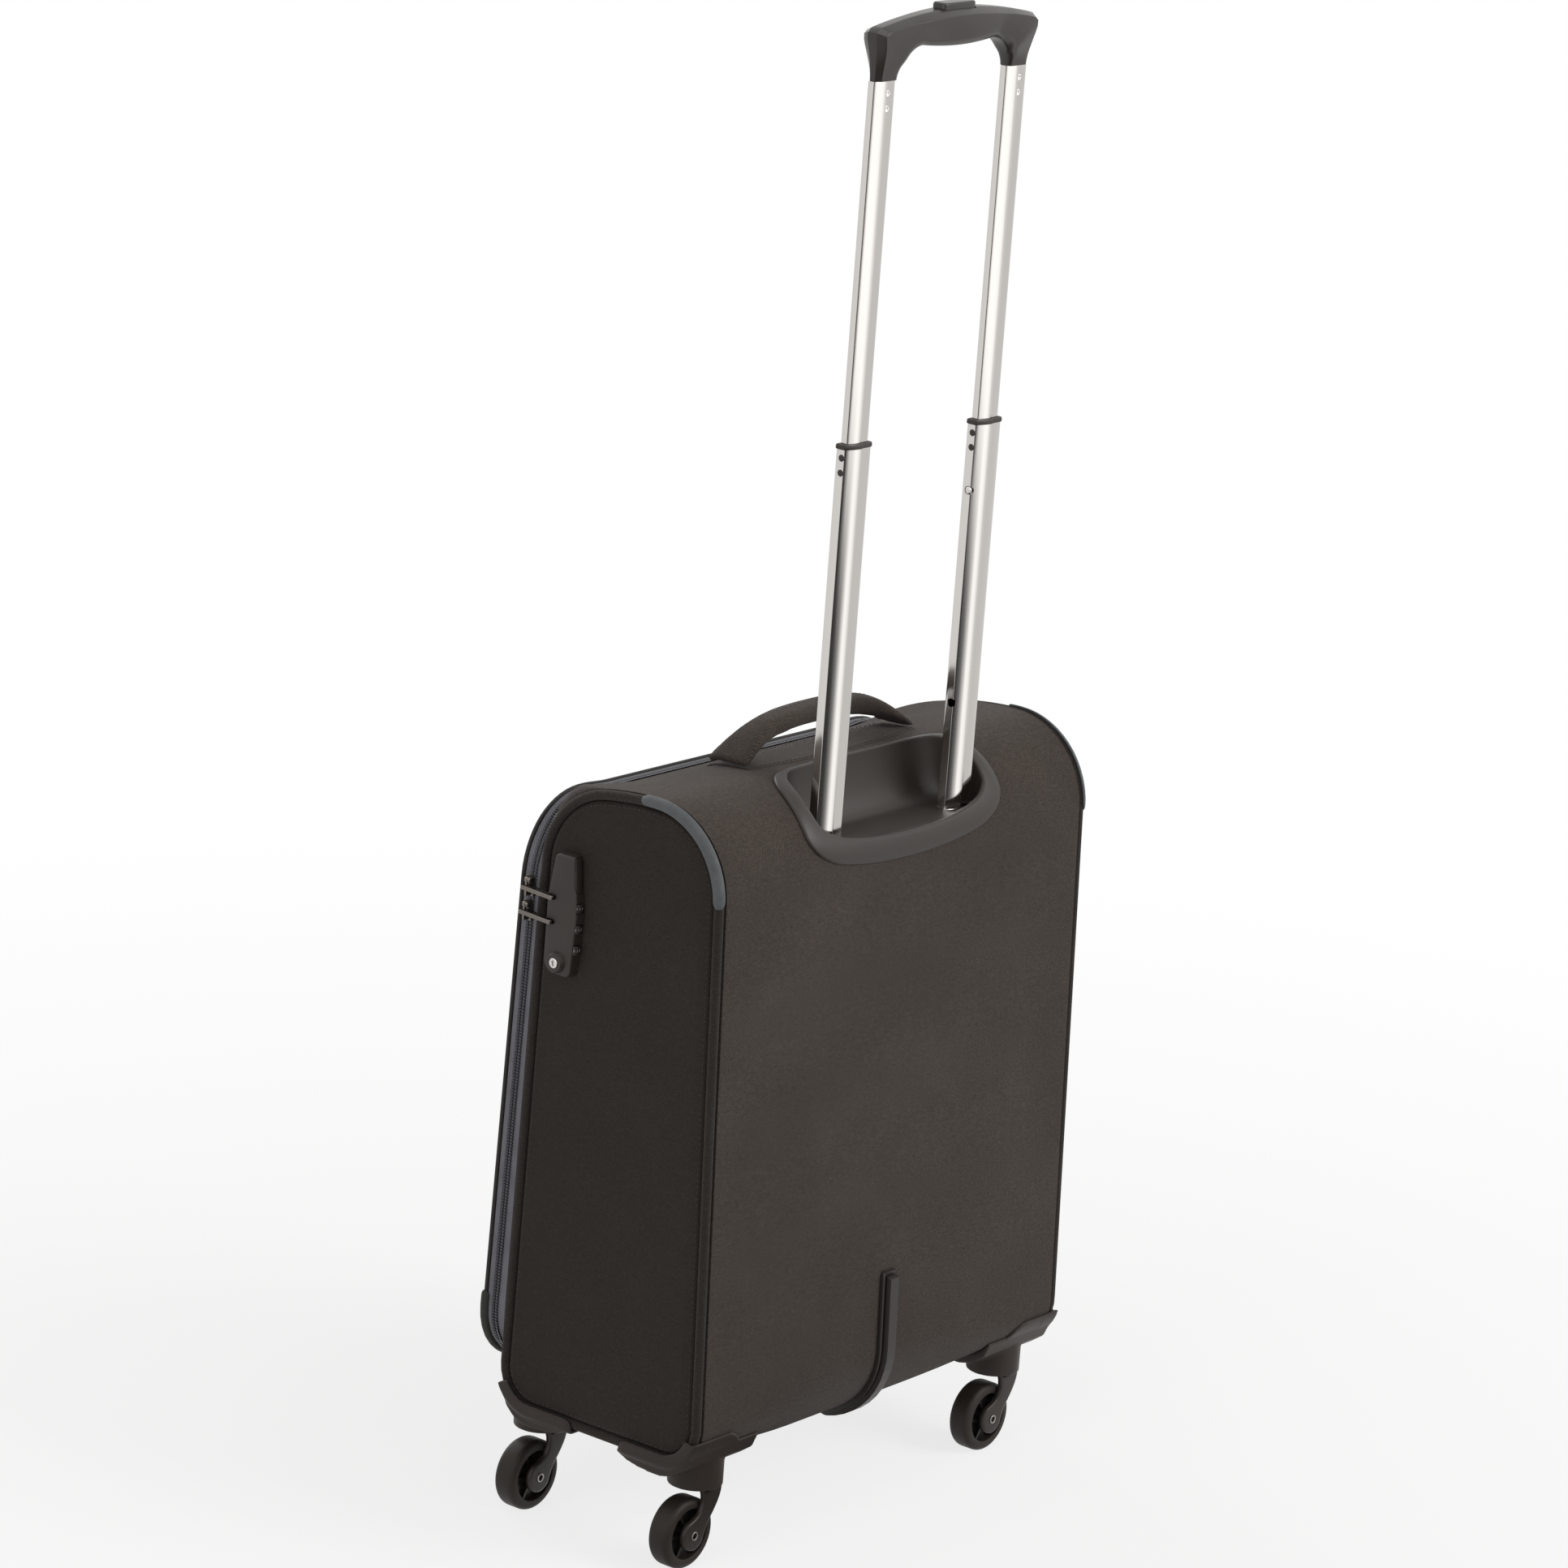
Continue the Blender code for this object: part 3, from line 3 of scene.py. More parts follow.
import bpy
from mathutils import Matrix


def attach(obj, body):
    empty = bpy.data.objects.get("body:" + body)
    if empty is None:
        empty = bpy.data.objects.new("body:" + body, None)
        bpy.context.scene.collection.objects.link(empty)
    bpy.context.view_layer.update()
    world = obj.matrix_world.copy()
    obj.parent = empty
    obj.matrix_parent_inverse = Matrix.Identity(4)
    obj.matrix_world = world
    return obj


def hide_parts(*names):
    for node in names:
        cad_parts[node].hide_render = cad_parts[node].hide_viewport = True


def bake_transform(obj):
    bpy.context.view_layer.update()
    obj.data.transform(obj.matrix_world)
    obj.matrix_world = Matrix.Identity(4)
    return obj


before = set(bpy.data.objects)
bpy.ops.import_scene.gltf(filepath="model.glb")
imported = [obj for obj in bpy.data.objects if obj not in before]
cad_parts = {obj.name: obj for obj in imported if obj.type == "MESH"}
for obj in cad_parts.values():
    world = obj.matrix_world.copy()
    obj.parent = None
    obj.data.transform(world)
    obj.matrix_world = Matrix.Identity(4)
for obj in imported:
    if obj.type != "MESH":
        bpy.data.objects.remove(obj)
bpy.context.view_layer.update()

import math

import bpy
from mathutils import Matrix, Vector
from mathutils.bvhtree import BVHTree

# Studio. A floor of white paper and an even white surround, with a large soft key behind the case's back,
# another soft lamp before its front, and weaker ones on the lock side and above.
scene = bpy.context.scene
scene.view_settings.view_transform = "Standard"


def linear(colour):
    """Turns an sRGB hex colour into linear RGBA."""
    channels = [int(colour[i:i + 2], 16) / 255 for i in (0, 2, 4)]
    return [c / 12.92 if c <= 0.04045 else ((c + 0.055) / 1.055) ** 2.4 for c in channels] + [1.0]


def set_inputs(tree, node, inputs):
    """Fills a node's inputs; each is a value, or an output socket to link from."""
    for name, value in inputs.items():
        if isinstance(value, bpy.types.NodeSocket):
            tree.links.new(value, node.inputs[name])
        else:
            node.inputs[name].default_value = value


def add_node(tree, kind, inputs=None, **settings):
    """Adds a node with its settings and inputs."""
    made = tree.nodes.new("ShaderNode" + kind)
    for name, value in settings.items():
        setattr(made, name, value)
    set_inputs(tree, made, inputs or {})
    return made


def seen_directly(tree):
    """Returns 1 for what the camera, a mirror or glass sees, and 0 for light that only falls on things."""
    path = add_node(tree, "LightPath")
    seen = add_node(tree, "Math", {0: path.outputs["Is Camera Ray"], 1: path.outputs["Is Glossy Ray"]},
                    operation="MAXIMUM")
    return add_node(tree, "Math", {0: seen.outputs[0], 1: path.outputs["Is Transmission Ray"]},
                    operation="MAXIMUM").outputs[0]


SURROUND_LIGHT = 0.29
world = bpy.data.worlds.new("studio_surround")
scene.world = world
world.use_nodes = True
tree = world.node_tree
tree.nodes.clear()
lit = add_node(tree, "Background", {"Color": linear("F7F4F1"), "Strength": SURROUND_LIGHT})
shown = add_node(tree, "Background", {"Color": linear("FFFFFF"), "Strength": 1.0})
mixed = add_node(tree, "MixShader", {0: seen_directly(tree), 1: lit.outputs[0], 2: shown.outputs[0]})
add_node(tree, "OutputWorld", {"Surface": mixed.outputs[0]})

# The paper glows white to the eye and turns matt close to the case, where its shadow falls.
FLOOR_SIZE = 40.0
bpy.ops.object.select_all(action="DESELECT")
bpy.ops.mesh.primitive_plane_add(size=FLOOR_SIZE, location=(0, 0, 0))
floor = bpy.context.object
floor.name = "studio_floor"
paper = bpy.data.materials.new("white_paper")
paper.use_nodes = True
tree = paper.node_tree
tree.nodes.clear()
place = add_node(tree, "TexCoord").outputs["Object"]
away = add_node(tree, "VectorMath", {0: place}, operation="LENGTH")
share = add_node(tree, "MapRange", {"Value": away.outputs["Value"], "From Min": 0.3, "From Max": 1.6,
                                    "To Min": 0.78, "To Max": 1.0})
matt = add_node(tree, "BsdfDiffuse", {"Color": linear("F2F2F2"), "Roughness": 1.0})
glow = add_node(tree, "Emission", {"Color": linear("FFFFFF"), "Strength": 1.0})
half = add_node(tree, "Math", {0: seen_directly(tree), 1: share.outputs[0]}, operation="MULTIPLY")
sheet = add_node(tree, "MixShader", {0: half.outputs[0], 1: matt.outputs[0], 2: glow.outputs[0]})
add_node(tree, "OutputMaterial", {"Surface": sheet.outputs[0]})
floor.data.materials.append(paper)

# A round card lies on the floor and glows, and only mirrors see it. Its dark and bright sectors, some
# brighter than white, are painted reflections that give the polished tubes their dark and bright bands.
CARD_RADIUS = 9.0
bpy.ops.object.select_all(action="DESELECT")
bpy.ops.mesh.primitive_circle_add(vertices=64, radius=CARD_RADIUS, fill_type="TRIFAN",
                                  location=(0, 0, 0.004))
card = bpy.context.object
card.name = "studio_card"
reflection_glow = bpy.data.materials.new("glowing_painted_reflection_card")
reflection_glow.use_nodes = True
tree = reflection_glow.node_tree
tree.nodes.clear()
place = add_node(tree, "TexCoord").outputs["Object"]
round_about = add_node(tree, "TexGradient", {"Vector": place}, gradient_type="RADIAL")
# Painted reflection tones by direction in degrees, near the case and farther off, where the dark part is
# narrower.
FIRST_TONES = ((-180, 0.60), (-165, 0.48), (-140, 0.74), (-60, 0.84), (-10, 0.90), (30, 0.55), (52, 0.05))
NEAR_TONES = ((94, 0.04), (104, 0.20), (113, 0.75), (121, 1.40), (131, 1.25), (140, 0.72))
FAR_TONES = ((88, 0.05), (94, 0.70), (100, 1.50), (120, 1.50), (131, 1.30), (140, 0.74))
LAST_TONES = ((152, 0.74), (162, 1.10), (180, 0.60))
tones = []
for own_tones in (NEAR_TONES, FAR_TONES):
    stops = FIRST_TONES + own_tones + LAST_TONES
    tone = add_node(tree, "ValToRGB", {"Fac": round_about.outputs["Fac"]})
    for degrees, _ in stops[1:-1]:
        tone.color_ramp.elements.new(degrees / 360 + 0.5)
    for stop, (degrees, value) in zip(tone.color_ramp.elements, stops):
        stop.position = degrees / 360 + 0.5
        stop.color = (value, value, value, 1.0)
    tones.append(tone.outputs["Color"])
away = add_node(tree, "VectorMath", {0: place}, operation="LENGTH")
far = add_node(tree, "MapRange", {"Value": away.outputs["Value"], "From Min": 2.8, "From Max": 4.0})
tone = add_node(tree, "Mix", {0: far.outputs[0], 6: tones[0], 7: tones[1]}, data_type="RGBA")
# The card glows with these painted reflection tones; it lights nothing and is seen only in mirrors.
reflection_glow_emission = add_node(tree, "Emission", {"Color": tone.outputs[2], "Strength": 1.0})
add_node(tree, "OutputMaterial", {"Surface": reflection_glow_emission.outputs[0]})
card.data.materials.append(reflection_glow)
card.visible_camera = False
card.visible_diffuse = False
card.visible_shadow = False

AIM = Vector((0.0, 0.01, 0.45))


def soft_lamp(name, place, size, watts):
    """Hangs a square soft box that faces the case."""
    lamp = bpy.data.lights.new(name, "AREA")
    lamp.shape = "SQUARE"
    lamp.size = size
    lamp.energy = watts
    hung = bpy.data.objects.new(name, lamp)
    scene.collection.objects.link(hung)
    hung.location = place
    hung.rotation_euler = (AIM - Vector(place)).to_track_quat("-Z", "Y").to_euler()


soft_lamp("key_softbox", (-1.6, 3.4, 2.6), size=2.2, watts=80)
soft_lamp("fill_softbox", (3.4, 0.2, 1.6), size=2.0, watts=14)
soft_lamp("top_softbox", (0.2, 0.4, 3.4), size=1.8, watts=10)
soft_lamp("front_softbox", (-0.6, -3.4, 2.2), size=2.0, watts=45)

# Camera. It stands behind the case on the lock side, a little above it, and is tipped a few degrees, as the
# leaning tubes in the photograph show. The frame is square.
EYE = Vector((3.2535, 2.5287, 1.6195))
RIGHT = Vector((-0.6303, 0.7731, 0.0711)).normalized()
UP = Vector((-0.1606, -0.2195, 0.9623)).normalized()
view = RIGHT.cross(UP).normalized()
turn = Matrix((RIGHT, view.cross(RIGHT), view)).transposed()
lens = bpy.data.cameras.new("photo_camera")
lens.sensor_width = 36.0
lens.lens = 143.83
lens.clip_end = 100.0
camera = bpy.data.objects.new("photo_camera", lens)
scene.collection.objects.link(camera)
camera.matrix_world = Matrix.Translation(EYE) @ turn.to_4x4()
scene.camera = camera

# Case body. Polyester twill is sewn over board and foam into one wrap that runs up the back, over the top and
# along the underside; a plain lining shows inside once the lid is open. Sizes repeat the CAD model's.
WIDTH = 0.400
TOP = 0.529
BOTTOM = 0.078
BACK_Y = 0.089
BACK_LEAN = 0.034
FRONT_Y = -0.0632
FRONT_LEAN = 0.033
TOP_DROP = 0.011
TOP_BREAK_Y = 0.010
TOP_BREAK_RADIUS = 0.25
REAR_TOP_RADIUS = 0.060
BOTTOM_RADIUS = 0.030
FRONT_CORNER = 0.060
WALL = 0.004
PIPING_RADIUS = 0.0034
WRAP_HALF = WIDTH / 2 - 2 * PIPING_RADIUS - 0.0003
FRONT_SLACK = 0.0045
SAG = 0.0175
FRONT_SAG = 0.007
SAG_ROUNDING = 0.026
FOAM_BOW = 0.0016
FRONT_DROOP = 0.0125


def front_y(z):
    """Returns the front edge of the body at a height."""
    return FRONT_Y - FRONT_LEAN * (TOP - z)


def back_y(z):
    """Returns the back of the wrap at a height."""
    return BACK_Y + BACK_LEAN * (TOP - z)


def moved_in(corners, distance):
    """Moves each edge of an anticlockwise polygon inwards and returns the new corners."""
    moved = []
    for i, corner in enumerate(corners):
        before = (corner - corners[i - 1]).normalized()
        after = (corners[(i + 1) % len(corners)] - corner).normalized()
        first = Vector((-before.y, before.x))
        second = Vector((-after.y, after.x))
        moved.append(corner + (first + second) * distance / (1 + first.dot(second)))
    return moved


def rounded(corners, radii, steps):
    """Rounds each corner of an anticlockwise polygon with its own radius and number of steps."""
    points = []
    for i, corner in enumerate(corners):
        back = (corners[i - 1] - corner).normalized()
        ahead = (corners[(i + 1) % len(corners)] - corner).normalized()
        half = back.angle(ahead) / 2
        centre = corner + (back + ahead).normalized() * radii[i] / math.sin(half)
        start = corner + back * radii[i] / math.tan(half) - centre
        sweep = math.copysign(math.pi - 2 * half, ahead.cross(back))
        for k in range(steps[i] + 1):
            points.append(centre + Matrix.Rotation(sweep * k / steps[i], 2) @ start)
    return points


def eased(value, low, high):
    """Returns 0 below a range, 1 above it and a smooth rise between."""
    share = min(1.0, max(0.0, (value - low) / (high - low)))
    return share * share * (3 - 2 * share)


def slack(z):
    """Returns how far the body's front edge stays behind its plane; the gap to the lid widens downwards."""
    return FRONT_SLACK * (TOP - TOP_DROP - z) / (TOP - TOP_DROP - BOTTOM)


def belly(x):
    """Returns how much of its sag the underside has at a distance across the case: none above the feet."""
    return 1 - eased(abs(x), 0.050, 0.135)


def side_outline(front_radius=FRONT_CORNER, depth=0.0, sag=0.0):
    """Returns the case's outline in (y, z), anticlockwise from the bottom front, moved in by a depth.

    With its sag the underside hangs lower at the back and turns up in a wider curve.
    """
    low_top = TOP - TOP_DROP
    low = BOTTOM - SAG * sag
    corners = [Vector((front_y(BOTTOM) + slack(BOTTOM), BOTTOM - FRONT_SAG * sag)),
               Vector((back_y(low), low)), Vector((back_y(TOP), TOP)),
               Vector((TOP_BREAK_Y, TOP)), Vector((front_y(low_top), low_top))]
    radii = [BOTTOM_RADIUS - depth, BOTTOM_RADIUS + SAG_ROUNDING * sag - depth, REAR_TOP_RADIUS - depth,
             TOP_BREAK_RADIUS, max(front_radius - depth, 0.0012)]
    return rounded(moved_in(corners, depth), radii, [8, 12, 14, 5, 12])


def alone(piece):
    """Selects one piece and makes it the active one."""
    bpy.ops.object.select_all(action="DESELECT")
    piece.select_set(True)
    bpy.context.view_layer.objects.active = piece


def edit_all(piece):
    """Opens a piece for editing with everything selected."""
    alone(piece)
    bpy.ops.object.mode_set(mode="EDIT")
    bpy.ops.mesh.select_all(action="SELECT")


def done():
    """Leaves edit mode."""
    bpy.ops.object.mode_set(mode="OBJECT")


def point_outwards(piece):
    """Turns every face of a closed piece outwards."""
    edit_all(piece)
    bpy.ops.mesh.normals_make_consistent(inside=False)
    done()


def mesh_piece(name, points, faces):
    """Makes an object of points and faces, with its faces turned outwards."""
    mesh = bpy.data.meshes.new(name)
    mesh.from_pydata(points, [], faces)
    made = bpy.data.objects.new(name, mesh)
    scene.collection.objects.link(made)
    point_outwards(made)
    return made


def skin(name, rings, closed=False, capped=True):
    """Makes a mesh object over rings of points, each ring a closed section."""
    count = len(rings[0])
    runs = len(rings) if closed else len(rings) - 1
    points = [tuple(p) for ring in rings for p in ring]
    faces = []
    for i in range(runs):
        j = (i + 1) % len(rings)
        for k in range(count):
            n = (k + 1) % count
            faces.append((i * count + k, i * count + n, j * count + n, j * count + k))
    if capped and not closed:
        faces.append(tuple(range(count)))
        faces.append(tuple(range((len(rings) - 1) * count, len(rings) * count)))
    return mesh_piece(name, points, faces)


def modify(piece, kind, **settings):
    """Adds one modifier with its settings and applies it."""
    step = piece.modifiers.new("step", kind)
    for name, value in settings.items():
        setattr(step, name, value)
    alone(piece)
    bpy.ops.object.modifier_apply(modifier=step.name)


def discard(piece):
    """Removes a piece that was only a tool or a pattern."""
    bpy.data.objects.remove(piece, do_unlink=True)


def cut(piece, *tools, operation="DIFFERENCE"):
    """Cuts other shapes out of a piece, or combines them with it in another way, and removes them."""
    for tool in tools:
        modify(piece, "BOOLEAN", operation=operation, object=tool, solver="EXACT")
        discard(tool)


def smooth(piece, degrees=32):
    """Shades a piece smooth with crisp edges past an angle."""
    alone(piece)
    bpy.ops.object.shade_smooth_by_angle(angle=math.radians(degrees))


def fit(piece, finish, body, slot, *nodes):
    """Gives a piece its finish, its body and the CAD nodes that it stands for; the slot is not used."""
    piece.data.materials.clear()
    piece.data.materials.append(finish)
    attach(piece, body)
    if nodes:
        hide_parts(*nodes)


RIB_PITCH = 0.0016


def new_finish(name):
    """Starts a procedural finish; returns it with its tree, its shader and the place on the piece."""
    made = bpy.data.materials.new(name)
    made.use_nodes = True
    tree = made.node_tree
    return made, tree, tree.nodes["Principled BSDF"], add_node(tree, "TexCoord").outputs["Object"]


def wave_scale(pitch):
    """Returns the scale at which a wave texture's bands lie a pitch apart."""
    return 2 * math.pi / (10 * pitch)


def twill(name, dark, light, sheen):
    """Polyester twill, piece dyed: diagonal ribs, slubs along the weft, a soft sheen and an uneven shade.

    The yarn lies 0.5 mm apart; the ribs are drawn 1.6 mm apart so that they show in the picture.
    """
    made, tree, shader, place = new_finish(name)
    ribs = add_node(tree, "TexWave", {"Vector": place, "Scale": wave_scale(RIB_PITCH), "Distortion": 1.4,
                                      "Detail": 1.0, "Detail Scale": 1.2}, bands_direction="DIAGONAL")
    yarn = add_node(tree, "TexNoise", {"Vector": place, "Scale": 900.0, "Detail": 2.0})
    lying = add_node(tree, "Mapping", {"Vector": place, "Scale": (360.0, 360.0, 900.0)})
    slub = add_node(tree, "TexNoise", {"Vector": lying.outputs[0], "Scale": 1.0, "Detail": 2.0})
    cloud = add_node(tree, "TexNoise", {"Vector": place, "Scale": 16.0, "Detail": 3.0})
    weave = add_node(tree, "Math", {0: ribs.outputs["Fac"], 1: yarn.outputs["Fac"]}, operation="MULTIPLY")
    lift = add_node(tree, "Math", {0: cloud.outputs["Fac"], 1: 0.45, 2: -0.72}, operation="MULTIPLY_ADD")
    fleck = add_node(tree, "Math", {0: slub.outputs["Fac"], 1: 1.0, 2: lift.outputs[0]},
                     operation="MULTIPLY_ADD")
    shade = add_node(tree, "Math", {0: weave.outputs[0], 1: fleck.outputs[0]}, operation="ADD",
                     use_clamp=True)
    colour = add_node(tree, "Mix", {0: shade.outputs[0], 6: linear(dark), 7: linear(light)},
                      data_type="RGBA").outputs[2]
    relief = add_node(tree, "Bump", {"Height": weave.outputs[0], "Strength": 0.75, "Distance": 0.0006})
    set_inputs(tree, shader, {"Base Color": colour, "Normal": relief.outputs[0], "Roughness": 0.78,
                              "Specular IOR Level": 0.18, "Sheen Weight": sheen, "Sheen Roughness": 0.45})
    return made


BACK_TWILL = twill("black_polyester_twill", "38302B", "605750", sheen=0.08)
LINING = twill("grey_lining_taffeta", "4A4846", "6A6764", sheen=0.15)


def wrap_rings(half, depth):
    """Returns sections of the body across its width, with the dog-eared corners beside the zip."""
    stations = []
    for i in range(13):
        turn = math.pi / 2 * i / 12
        stations.append((half - FRONT_CORNER * (1 - math.sin(turn)), FRONT_CORNER * (1 - math.cos(turn))))
    middle = half - FRONT_CORNER
    inner = [(middle * (-1 + 2 * i / 12), 0.0) for i in range(1, 12)]
    stations = [(-x, r) for x, r in reversed(stations)] + inner + stations
    return [[(x, p.x, p.y) for p in side_outline(r, depth, belly(x))] for x, r in stations]


def swell(rings):
    """Bows the wrap out a little between its edges, as cloth over foam does."""
    soft = []
    for ring in rings:
        across = max(0.0, 1 - (ring[0][0] / WRAP_HALF) ** 2) ** 0.5
        out = []
        for x, y, z in ring:
            up = max(0.0, math.sin(math.pi * (z - BOTTOM) / (TOP - BOTTOM))) ** 0.5
            out.append((x, y + FOAM_BOW * across * up * (1 if y > 0.05 else 0), z))
        soft.append(out)
    return soft


EDGE_INSET = 0.0018
rings = swell(wrap_rings(WRAP_HALF, 0.0))
edge = side_outline(depth=EDGE_INSET)
step = side_outline(depth=2 * PIPING_RADIUS + 0.0003)
SIDE_WALL = WIDTH / 2 - 0.0048
for side in (-1, 1):
    lip = [[(side * (WRAP_HALF + 0.0002), p.x, p.y) for p in edge],
           [(side * WRAP_HALF, p.x, p.y) for p in step],
           [(side * SIDE_WALL, p.x, p.y) for p in step]]
    rings = list(reversed(lip)) + rings if side < 0 else rings + lip
case_body = skin("case_body", rings)
room = skin("room", wrap_rings(WRAP_HALF - WALL, WALL))


LID_BOTTOM = 0.100
LID_LOW_CORNER = 0.044


def front_outline(depth=0.0, half=WIDTH / 2 - 0.001):
    """Returns the lid's outline in (x, z), anticlockwise from the bottom left, moved in by a depth."""
    top = TOP - TOP_DROP
    corner = FRONT_CORNER + half - WRAP_HALF
    corners = [Vector((-half, LID_BOTTOM)), Vector((half, LID_BOTTOM)),
               Vector((half, top)), Vector((-half, top))]
    radii = [max(r - depth, 0.001) for r in (LID_LOW_CORNER, LID_LOW_CORNER, corner, corner)]
    return rounded(moved_in(corners, depth), radii, [8, 8, 14, 14])


def in_front(x, out, z):
    """Returns a point at a distance in front of the body's leaning front."""
    return Vector((x, front_y(z) - out, z))


mouth_line = front_outline(WALL, WRAP_HALF - WALL)
mouth = skin("mouth", [[in_front(p.x, out, p.y) for p in mouth_line] for out in (-0.012, 0.012)])
cut(case_body, room, mouth)


def droop(piece):
    """Lets the soft front edge of the top hang down a little, most in the middle of the case."""
    for vertex in piece.data.vertices:
        x, y, z = vertex.co
        across = 1 - eased(abs(x), 0.120, 0.205)
        along = min(1.0, max(0.0, (-0.009 - y) / 0.055))
        vertex.co.z -= FRONT_DROOP * across * along * eased(z, 0.420, 0.505)


droop(case_body)
smooth(case_body, 40)
fit(case_body, BACK_TWILL, "case", "dark_fabric", "body_shell")
case_body.data.materials.append(LINING)
for face in case_body.data.polygons:
    x, y, z = face.center
    inside = front_y(z) + WALL / 2 < y < back_y(z) - WALL / 2
    if inside and abs(x) < WRAP_HALF - WALL / 2 and BOTTOM - 0.014 < z < TOP - WALL / 2:
        toward = Vector((-x, 0.01 - y, 0.3 - z))
        face.material_index = 1 if face.normal.dot(toward) > 0 else 0

# Side panels. Thin foam under the same twill, its colour darkened as painted shade on the shaded sides, sewn
# in all round against a fat cloth-covered piping; the needle's stitches sit in the groove between the two.
SHADED_SIDE_TWILL = twill("shaded_side_polyester_twill", "2A241F", "413933", sheen=0.06)
PIPING_TWILL = twill("piping_twill", "2B2622", "463F3A", sheen=0.08)
# The thread's twisted plies, 0.4 mm a turn, catch the light in turn.
PLY_PITCH = 0.0004
THREAD, tree, shader, place = new_finish("bonded_nylon_thread")
plies = add_node(tree, "TexWave", {"Vector": place, "Scale": wave_scale(PLY_PITCH), "Distortion": 1.0},
                 bands_direction="DIAGONAL")
colour = add_node(tree, "Mix", {0: plies.outputs["Fac"], 6: linear("26221F"), 7: linear("3E3A37")},
                  data_type="RGBA").outputs[2]
set_inputs(tree, shader, {"Base Color": colour, "Roughness": 0.55})


def even(path, spacing, closed=True):
    """Spreads points evenly along a line, as near to a spacing as its length allows."""
    points = list(path) + [path[0]] if closed else list(path)
    lengths = [(b - a).length for a, b in zip(points, points[1:])]
    total = sum(lengths)
    count = max(2, round(total / spacing))
    spread = []
    run = 0.0
    k = 0
    for i in range(count if closed else count + 1):
        want = min(total * i / count, total - 1e-9)
        while k < len(lengths) - 1 and run + lengths[k] < want:
            run += lengths[k]
            k += 1
        spread.append(points[k].lerp(points[k + 1], (want - run) / max(lengths[k], 1e-9)))
    return spread


def frames(path, closed):
    """Returns each point of a flat path with its direction and its outward side."""
    made = []
    last = len(path) - 1
    for i, point in enumerate(path):
        before = path[i - 1] if i or closed else point
        after = path[(i + 1) % len(path)] if i < last or closed else point
        ahead = (after - before).normalized()
        made.append((point, ahead, Vector((ahead.y, -ahead.x))))
    return made


def side_sweep(name, path, section, x, closed=True):
    """Sweeps a section of (along X, outwards) points along a path in (y, z)."""
    rings = []
    runs = frames(path, closed)
    for i, (point, _, outward) in enumerate(runs):
        shape = section(i / (len(runs) - 1)) if callable(section) else section
        rings.append([(x + a, point.x + outward.x * b, point.y + outward.y * b) for a, b in shape])
    return skin(name, rings, closed)


def ring_section(radius, sides):
    """Returns a round section."""
    return [(radius * math.cos(2 * math.pi * k / sides), radius * math.sin(2 * math.pi * k / sides))
            for k in range(sides)]


STITCH_CORNERS = ((-0.5, 0, 0), (0, -0.5, 0.25), (0, 0, 0.6), (0, 0.5, 0.25), (0.5, 0, 0), (0, 0, -0.4))


def stitch_row(name, places, length, thick):
    """Makes a row of stitches as one piece; each place is a point, a direction and an outward side."""
    points = []
    faces = []
    for point, ahead, outward in places:
        aside = ahead.cross(outward).normalized()
        n = len(points)
        for a, b, c in STITCH_CORNERS:
            points.append(tuple(point + ahead * a * length + aside * b * thick + outward * c * thick))
        faces += [(n, n + 1, n + 2), (n, n + 2, n + 3), (n + 4, n + 2, n + 1), (n + 4, n + 3, n + 2),
                  (n, n + 5, n + 1), (n, n + 3, n + 5), (n + 4, n + 1, n + 5), (n + 4, n + 5, n + 3)]
    return mesh_piece(name, points, faces)


PANEL_EDGE = 2 * PIPING_RADIUS + 0.0006
PANEL_STEPS = ((0.0, 0.1955), (0.0, 0.1966), (0.0006, 0.1976), (0.0018, 0.1982), (0.004, 0.1985),
               (0.012, 0.1986))
SEAM_X = 0.1983
SIDES = (("right", 1), ("left", -1))
for hand, side in SIDES:
    rings = []
    for inset, x in PANEL_STEPS:
        rings.append([(side * x, p.x, p.y) for p in side_outline(depth=PANEL_EDGE + inset)])
    panel = skin("side_panel_" + hand + "_cloth", rings)
    smooth(panel, 60)
    fit(panel, SHADED_SIDE_TWILL, "case", "side_fabric", "side_panel_" + hand)

    path = even(side_outline(depth=PIPING_RADIUS), 0.006)
    roll = side_sweep("side_piping_" + hand + "_cloth", path, ring_section(PIPING_RADIUS, 14),
                      side * (WIDTH / 2 - PIPING_RADIUS))
    smooth(roll, 60)
    fit(roll, PIPING_TWILL, "case", "piping_fabric", "side_piping_" + hand)

    places = []
    for point, ahead, _ in frames(even(side_outline(depth=PANEL_EDGE + 0.0026), 0.0042), True):
        places.append((Vector((side * SEAM_X, point.x, point.y)), Vector((0, ahead.x, ahead.y)),
                       Vector((side, 0, 0))))
    seam = stitch_row("side_seam_" + hand, places, length=0.0028, thick=0.0007)
    fit(seam, THREAD, "case", "piping_fabric")

# Corner strips. A grained grey rubber tape is sewn over each piping where the top rear corner takes knocks;
# it is drawn in and rounded at both ends.
STRIP_FRONT_Y = 0.018
STRIP_BOTTOM_Z = 0.468
STRIP_INNER = PIPING_RADIUS + 0.0003
STRIP_OUTER = PIPING_RADIUS + 0.0015
# Pores 1.1 mm apart break up its highlights, and a bloom in patches of about 11 mm leaves it blotchy.
GREY_RUBBER, tree, shader, place = new_finish("grained_grey_rubber")
blotch = add_node(tree, "TexNoise", {"Vector": place, "Scale": 90.0, "Detail": 4.0, "Roughness": 0.7})
pores = add_node(tree, "TexVoronoi", {"Vector": place, "Scale": 900.0})
tint = add_node(tree, "Mix", {0: blotch.outputs["Fac"], 6: linear("3E4244"), 7: linear("6A6E70")},
                data_type="RGBA").outputs[2]
grain = add_node(tree, "Bump", {"Height": pores.outputs["Distance"], "Strength": 0.3, "Distance": 0.0003})
set_inputs(tree, shader, {"Base Color": tint, "Normal": grain.outputs[0], "Roughness": 0.62})


